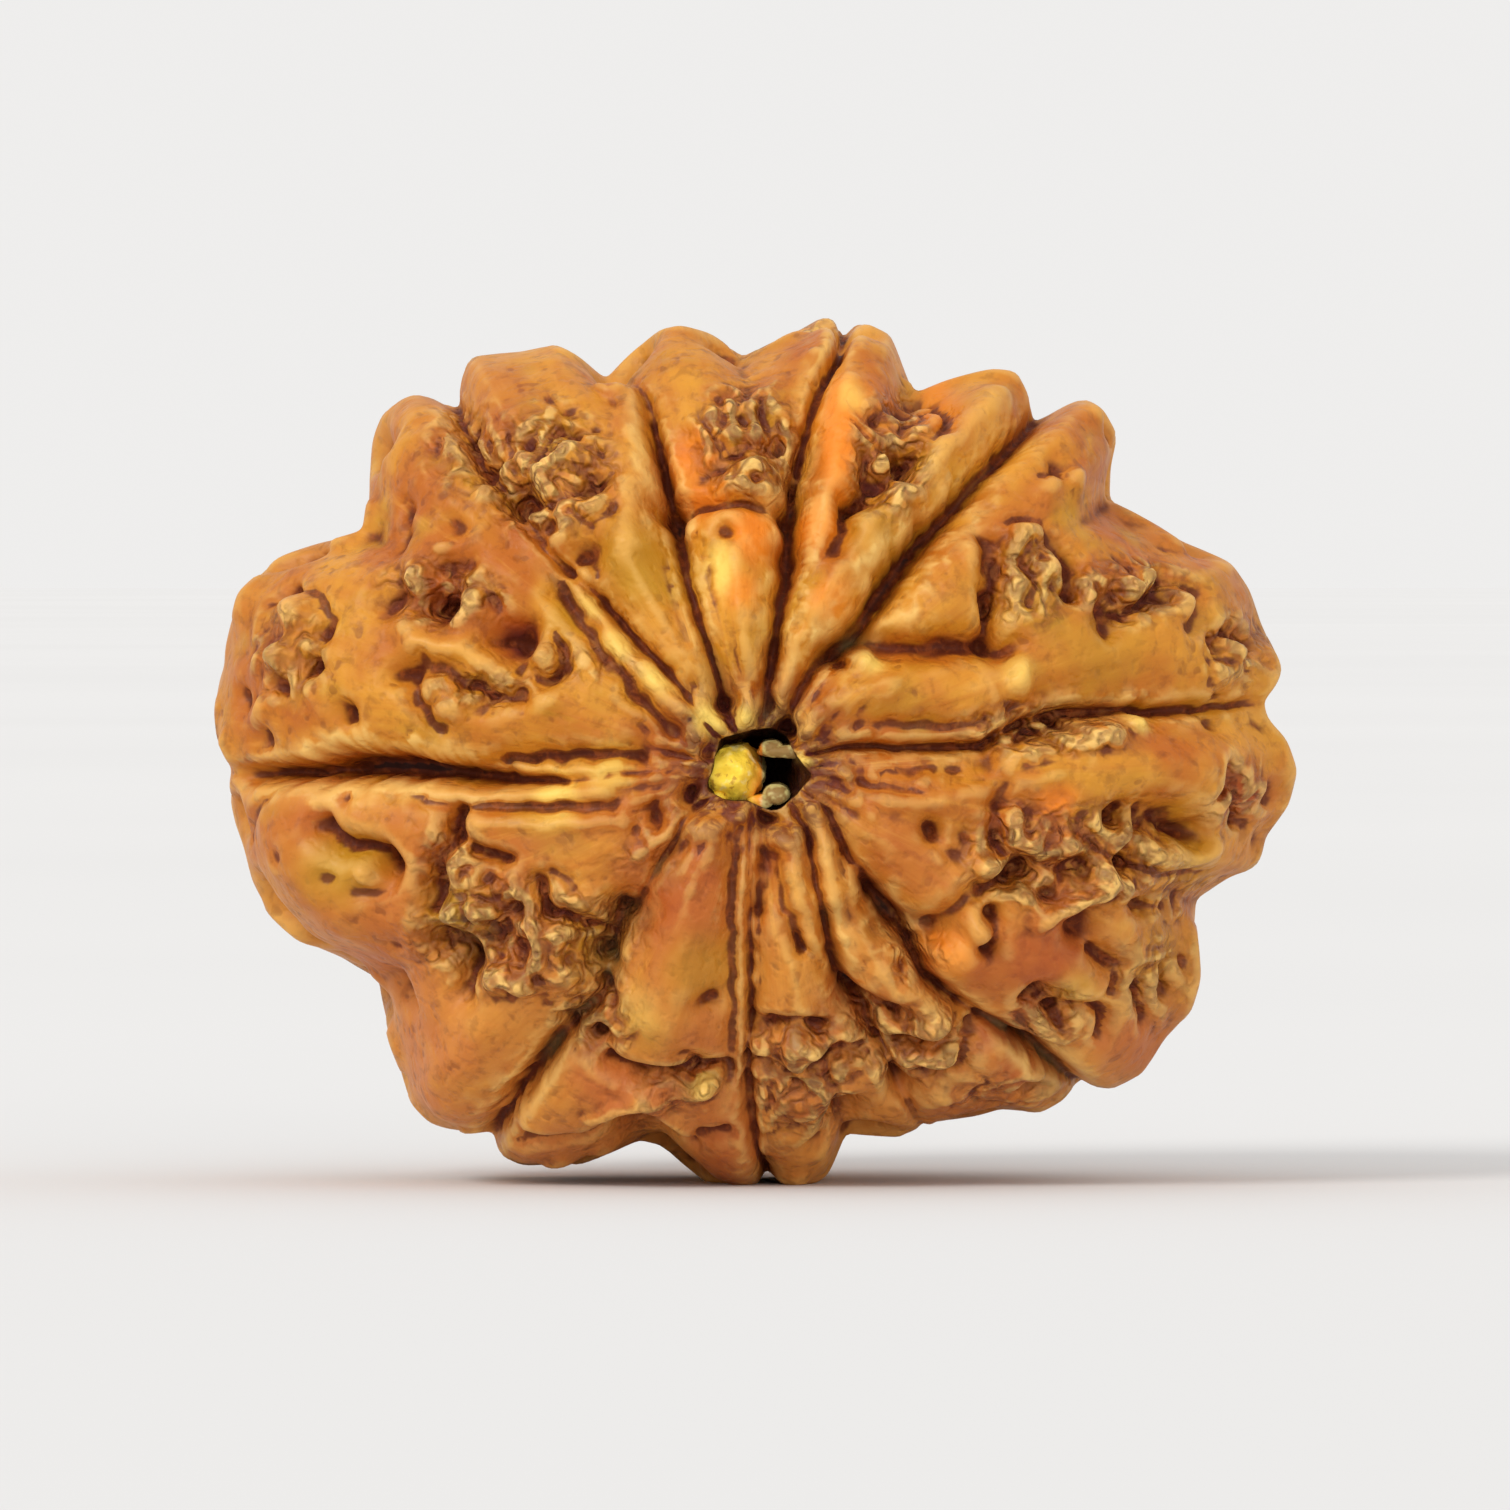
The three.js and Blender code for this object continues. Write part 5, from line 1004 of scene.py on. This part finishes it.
class Nodes:
    """Short calls for building one material's node tree, with its colour laid on coat by coat."""

    def __init__(self, name):
        self.material = bpy.data.materials.new(name)
        self.material.use_nodes = True
        self.tree = self.material.node_tree
        self.shader = self.tree.nodes["Principled BSDF"]
        self.place = self.vector("SCALE", self.add("TexCoord").outputs["Object"], "Scale", 1000.0)
        self.colour = None

    def add(self, kind, **inputs):
        """A new node with its inputs set or linked. An underscore stands for a space."""
        node = self.tree.nodes.new("ShaderNode" + kind)
        for name, value in inputs.items():
            self.link(value, node.inputs[name.replace("_", " ")])
        return node

    def link(self, value, socket):
        if hasattr(value, "is_output"):
            self.tree.links.new(value, socket)
        else:
            socket.default_value = value

    def set(self, **inputs):
        """Sets or links the shader's own inputs."""
        for name, value in inputs.items():
            self.link(value, self.shader.inputs[name.replace("_", " ")])

    def field(self, name, output="Fac"):
        node = self.add("Attribute")
        node.attribute_name = name
        return node.outputs[output]

    def split(self, axis):
        """One axis of the place in millimetres."""
        return self.add("SeparateXYZ", Vector=self.place).outputs[axis]

    def noise(self, scale, detail=3.0, rough=0.55, warp=0.0, at=None):
        """Noise at a place in millimetres, or at another vector."""
        node = self.add("TexNoise", Vector=self.place if at is None else at)
        for name, number in zip(("Scale", "Detail", "Roughness", "Distortion"), (scale, detail, rough, warp)):
            node.inputs[name].default_value = number
        return node.outputs["Fac"]

    def vector(self, operation, value, socket, by):
        node = self.add("VectorMath")
        node.operation = operation
        self.link(value, node.inputs[0])
        self.link(by, node.inputs[socket])
        return node.outputs["Vector"]

    def range(self, value, low, high, to_low=0.0, to_high=1.0, kind="SMOOTHSTEP"):
        node = self.add("MapRange")
        node.interpolation_type = kind
        names = ("Value", "From Min", "From Max", "To Min", "To Max")
        for name, number in zip(names, (value, low, high, to_low, to_high)):
            self.link(number, node.inputs[name])
        return node.outputs["Result"]

    def math(self, operation, a, b=0.0):
        node = self.add("Math")
        node.operation = operation
        self.link(a, node.inputs[0])
        self.link(b, node.inputs[1])
        return node.outputs["Value"]

    def times(self, a, b):
        return self.math("MULTIPLY", a, b)

    def blend(self, a, b, share):
        node = self.add("Mix")
        node.data_type = "RGBA"
        for value, socket in zip((share, a, b), (node.inputs["Factor"], *node.inputs[6:8])):
            self.link(value, socket)
        return node.outputs[2]

    def coat(self, colour, share):
        """Lays a colour over what is there, as strongly as share says."""
        self.colour = self.blend(self.colour, colour, share)

    def bump(self, height, distance, strength, after=None):
        node = self.add("Bump", Strength=strength, Distance=distance, Height=height)
        if after is not None:
            self.link(after, node.inputs["Normal"])
        return node.outputs["Normal"]


def paint(red, green, blue):
    """An 8-bit screen colour as the shader's linear one."""
    def linear(value):
        value /= 255
        return value / 12.92 if value <= 0.04045 else ((value + 0.055) / 1.055) ** 2.4
    return (linear(red), linear(green), linear(blue), 1.0)


TAN = paint(213, 143, 38)
BROWN = paint(184, 98, 16)
REDDISH = paint(170, 72, 24)
OLIVE = paint(188, 138, 28)
ORANGE = paint(238, 130, 20)
PEACH = paint(230, 160, 62)
STRAW_HIGHLIGHT = paint(255, 216, 104)
UMBER = paint(96, 34, 2)
BLACKISH = paint(44, 8, 0)
PLUM = paint(96, 34, 34)
RIM_HIGHLIGHT = paint(212, 154, 70)
PALE_HIGHLIGHT = paint(244, 202, 116)
RUST = paint(138, 62, 12)
ROSY = paint(212, 132, 70)
LICHEN = paint(104, 92, 52)


def ground_tones_and_painted_light(n, streaks):
    """The wood's own tones, golden high up and streaked along the lobes, with painted light: a lighter
    underside and a paler rim.
    """
    height = n.split("Z")
    n.colour = n.blend(BROWN, TAN, n.range(n.noise(0.28, 3.0, 0.6, 0.4), 0.36, 0.64))
    # Painted light: rosier and lighter low down, lifting the shaded underside as if light bounced up onto it;
    # the rosy hue is also the wood's own there.
    n.coat(ROSY, n.range(height, 2.0, 12.0, 0.5, 0.0))
    n.coat(REDDISH, n.range(n.noise(0.45, 2.0), 0.56, 0.8, 0.0, 0.5))
    golden = n.range(height, 7.0, 13.0, 0.3, 1.0)
    n.coat(OLIVE, n.times(golden, n.range(n.noise(0.6, 2.0), 0.5, 0.75, 0.0, 0.6)))
    n.coat(BROWN, n.range(streaks, 0.42, 0.7, 0.0, 0.4))
    n.coat(PEACH, n.range(streaks, 0.42, 0.25, 0.0, 0.35))
    mottle = n.noise(2.4, 3.0, 0.6, 0.3)
    n.coat(UMBER, n.range(mottle, 0.3, 0.5, 0.3, 0.0))
    n.coat(PEACH, n.range(mottle, 0.6, 0.8, 0.0, 0.25))
    n.coat(UMBER, n.range(n.noise(2.6, 1.0, 0.5), 0.36, 0.26, 0.0, 0.4))
    # Painted highlight: a paler band round the rim, where the outline catches a light fringe.
    n.coat(RIM_HIGHLIGHT, n.times(n.field("rim"), 0.45))
    for colour, name in ((REDDISH, "red"), (OLIVE, "gold"), (ORANGE, "orange")):
        n.coat(colour, n.field(name))


def hollow_shade_and_highlights(n, crack, hollow, painted_shade):
    """Painted shade in the grooves, seams, pits and cracks, and painted highlights on raised skin and the
    grooves' lips.
    """
    ragged = n.times(n.math("SUBTRACT", n.noise(3.5, 3.0), 0.5), 0.16)
    # Painted highlight on the skin that stands out.
    n.coat(PEACH, n.range(n.math("SUBTRACT", 0.0, hollow), 0.1, 0.35, 0.0, 0.45))
    # Painted shade over the broad valleys.
    n.coat(UMBER, n.range(n.math("ADD", n.field("valley"), ragged), 0.35, 1.1, 0.0, 0.4))
    # Painted shade in the hollows.
    n.coat(painted_shade, n.range(n.math("ADD", hollow, ragged), 0.05, 0.3, 0.0, 0.85))
    # Painted shade, plum within the red patches.
    n.coat(PLUM, n.times(n.field("red"), n.range(hollow, 0.02, 0.2, 0.0, 0.8)))
    # Painted shade, near black in the deepest slits.
    n.coat(BLACKISH, n.range(n.math("ADD", hollow, crack), 0.18, 0.4, 0.0, 0.95))
    broken = n.range(n.noise(1.1, 2.0, 0.5, 0.5), 0.42, 0.6, 0.0, 0.35)
    # Painted highlight along the grooves' lips, broken by noise.
    n.coat(PALE_HIGHLIGHT, n.times(n.field("lip"), broken))
    # Painted shade in the fine cracks.
    n.coat(painted_shade, n.range(crack, 0.006, 0.04, 0.0, 0.85))


def crag_tones_and_highlights(n, crags, crack, winding):
    """Painted highlights on the crags' tips, and patches of plum, rose and peach on the crags."""
    rugged = n.math("MAXIMUM", crags, n.times(n.field("lip"), 0.4))
    # Painted highlight on the tips of the crags and of the beaded lips.
    tips = n.range(n.math("SUBTRACT", 0.0, crack), 0.012, 0.045)
    n.coat(PALE_HIGHLIGHT, n.times(tips, n.range(rugged, 0.0, 0.8, 0.2, 0.72)))
    n.coat(PLUM, n.times(crags, n.range(winding, 0.45, 0.32, 0.0, 0.55)))
    n.coat(ROSY, n.times(crags, n.range(winding, 0.5, 0.6, 0.0, 0.45)))
    n.coat(PEACH, n.times(crags, n.range(winding, 0.6, 0.72, 0.0, 0.5)))


def stains(n, hollow):
    """Orange and grey stains, and the dusky skin round the mouth."""
    n.coat(ORANGE, n.times(n.field("orange"), n.range(hollow, 0.1, 0.0, 0.0, 0.6)))
    n.coat(PLUM, n.times(n.field("mouth"), n.range(n.noise(1.9, 3.0, 0.6, 0.8), 0.42, 0.6, 0.9, 0.1)))
    n.coat(LICHEN, n.times(n.field("grey"), n.range(hollow, -0.02, 0.14, 0.4, 1.0)))


def stone_material():
    n = Nodes("bead_wood")
    crags, crack, hollow = n.field("crags"), n.field("crack"), n.field("hollow")
    along = n.vector("MULTIPLY", n.field("flow", "Vector"), 1, (1.0, 1.0, 0.16))
    streaks = n.noise(2.2, 3.0, 0.6, 0.3, at=along)
    # The colour of the painted shade: umber and rust by noise.
    painted_shade = n.blend(UMBER, RUST, n.range(n.noise(2.8, 3.0, 0.6, 0.5), 0.46, 0.68))
    winding = n.noise(1.6, 2.0, 0.5, 1.2)
    ground_tones_and_painted_light(n, streaks)
    hollow_shade_and_highlights(n, crack, hollow, painted_shade)
    crag_tones_and_highlights(n, crags, crack, winding)
    stains(n, hollow)
    folds = n.math("SUBTRACT", n.noise(2.0, 1.0, 0.5, 0.25), 0.5)
    wrinkle = n.range(n.math("ABSOLUTE", folds), 0.0, 0.16)
    wrinkled = n.range(crags, 0.1, 0.7)
    furrow = n.times(wrinkled, n.math("SUBTRACT", 1.0, wrinkle))
    # Painted shade in the crag furrows, which the creases bump below also sinks.
    n.coat(painted_shade, n.times(furrow, 0.6))
    # Painted highlight: straw spots, kept off the hollows.
    raised = n.range(n.math("ADD", hollow, n.times(crack, 3.0)), 0.05, -0.06)
    n.coat(STRAW_HIGHLIGHT, n.times(n.field("straw_highlight"), raised))
    # Painted shade: the canal's wall near black.
    n.coat(BLACKISH, n.times(n.field("inside"), 0.9))
    rough = n.range(n.noise(1.7, 3.0), 0.3, 0.7, 0.42, 0.6, "LINEAR")
    rough = n.math("ADD", rough, n.range(hollow, 0.0, 0.3, 0.0, 0.3))
    grain = n.bump(n.noise(9.0, 4.0, 0.6), 0.00003, 0.35)
    fibre = n.bump(streaks, 0.00008, 0.3, grain)
    pores = n.bump(n.range(n.noise(2.6, 1.0, 0.5), 0.28, 0.5), 0.00008, 0.4, fibre)
    lumps = n.bump(n.times(crags, winding), 0.0002, 0.5, pores)
    creases = n.bump(n.times(wrinkled, wrinkle), 0.00014, 0.7, lumps)
    n.set(Base_Color=n.colour, Roughness=rough, Normal=creases)
    n.set(Specular_IOR_Level=0.28, Coat_Weight=0.05, Coat_Roughness=0.3)
    return n.material


def pith_material():
    n = Nodes("pith_dry")
    across = n.split("X")
    # Painted light: pale yellow on the lit left side running to orange on the shaded right, whitish painted
    # highlights, and the whole pith painted brighter than its own colour against the mouth's shade.
    lit = n.math("ADD", across, n.times(n.noise(2.0, 3.0), 0.8))
    n.colour = n.blend(paint(255, 218, 62), paint(236, 132, 24), n.range(lit, -0.1, 0.8))
    n.coat(paint(255, 250, 200), n.range(n.noise(2.6, 4.0), 0.54, 0.74, 0.0, 0.6))
    n.coat(paint(150, 76, 10), n.range(n.noise(4.0, 3.0), 0.28, 0.42, 0.6, 0.0))
    crumbs = n.blend(paint(214, 200, 128), paint(152, 118, 60), n.range(n.noise(3.0, 2.0), 0.4, 0.6))
    n.coat(crumbs, n.range(across, 0.14, 0.22))
    n.set(Base_Color=n.colour, Roughness=n.range(n.noise(6.0), 0.3, 0.7, 0.5, 0.75))
    n.set(Normal=n.bump(n.noise(7.0, 4.0), 0.00008, 0.5))
    return n.material


def pale_material():
    n = Nodes("pale_floor")
    tone = n.range(n.noise(0.004, 2.0), 0.3, 0.7)
    n.set(Base_Color=n.blend(paint(227, 227, 227), paint(225, 225, 225), tone))
    n.set(Roughness=0.9, Specular_IOR_Level=0.0)
    return n.material


def make_floor():
    half = 6.0
    mesh = bpy.data.meshes.new("floor")
    corners = [(-half, -half, 0), (half, -half, 0), (half, half, 0), (-half, half, 0)]
    mesh.from_pydata(corners, [], [(0, 1, 2, 3)])
    mesh.materials.append(pale_material())
    add_object("floor", mesh)


def add_sun(name, towards, strength, softness, colour):
    """A broad soft light. towards points from the bead to the light."""
    data = bpy.data.lights.new(name, "SUN")
    data.energy = strength
    data.angle = math.radians(softness)
    data.color = colour
    light = add_object(name, data)
    light.rotation_mode = "QUATERNION"
    light.rotation_quaternion = Vector(towards).to_track_quat("Z", "Y")


def make_light():
    world = bpy.data.worlds.new("studio")
    world.use_nodes = True
    background = world.node_tree.nodes["Background"]
    background.inputs["Color"].default_value = (1.0, 0.99, 0.98, 1.0)
    background.inputs["Strength"].default_value = 0.86
    bpy.context.scene.world = world
    add_sun("key", (-0.55, -0.6, 0.62), 1.25, 22, (1.0, 0.98, 0.95))
    add_sun("front", (0.25, -1.0, 0.08), 0.6, 40, (1.0, 0.97, 0.94))


def make_camera():
    """Looks along the canal from just above the bead's middle, at the middle of the plan's frame."""
    centre = (0.0, 0.0, (FLOOR - FRAME / 2) * MM / 1000)
    distance = 0.45
    elevation = math.radians(0.7)
    data = bpy.data.cameras.new("camera")
    data.sensor_width = 36.0
    data.lens = data.sensor_width * distance / (FRAME * MM / 1000)
    data.clip_start = 0.01
    data.clip_end = 20.0
    camera = add_object("camera", data)
    back = Vector((0.0, -math.cos(elevation), math.sin(elevation)))
    camera.location = Vector(centre) + back * distance
    camera.rotation_mode = "QUATERNION"
    camera.rotation_quaternion = (-back).to_track_quat("-Z", "Y")
    bpy.context.scene.camera = camera


make_camera()
features = all_features()
fit, shift = make_bead()
make_pith(fit, shift)
make_floor()
make_light()
bpy.context.scene.view_settings.view_transform = "Standard"
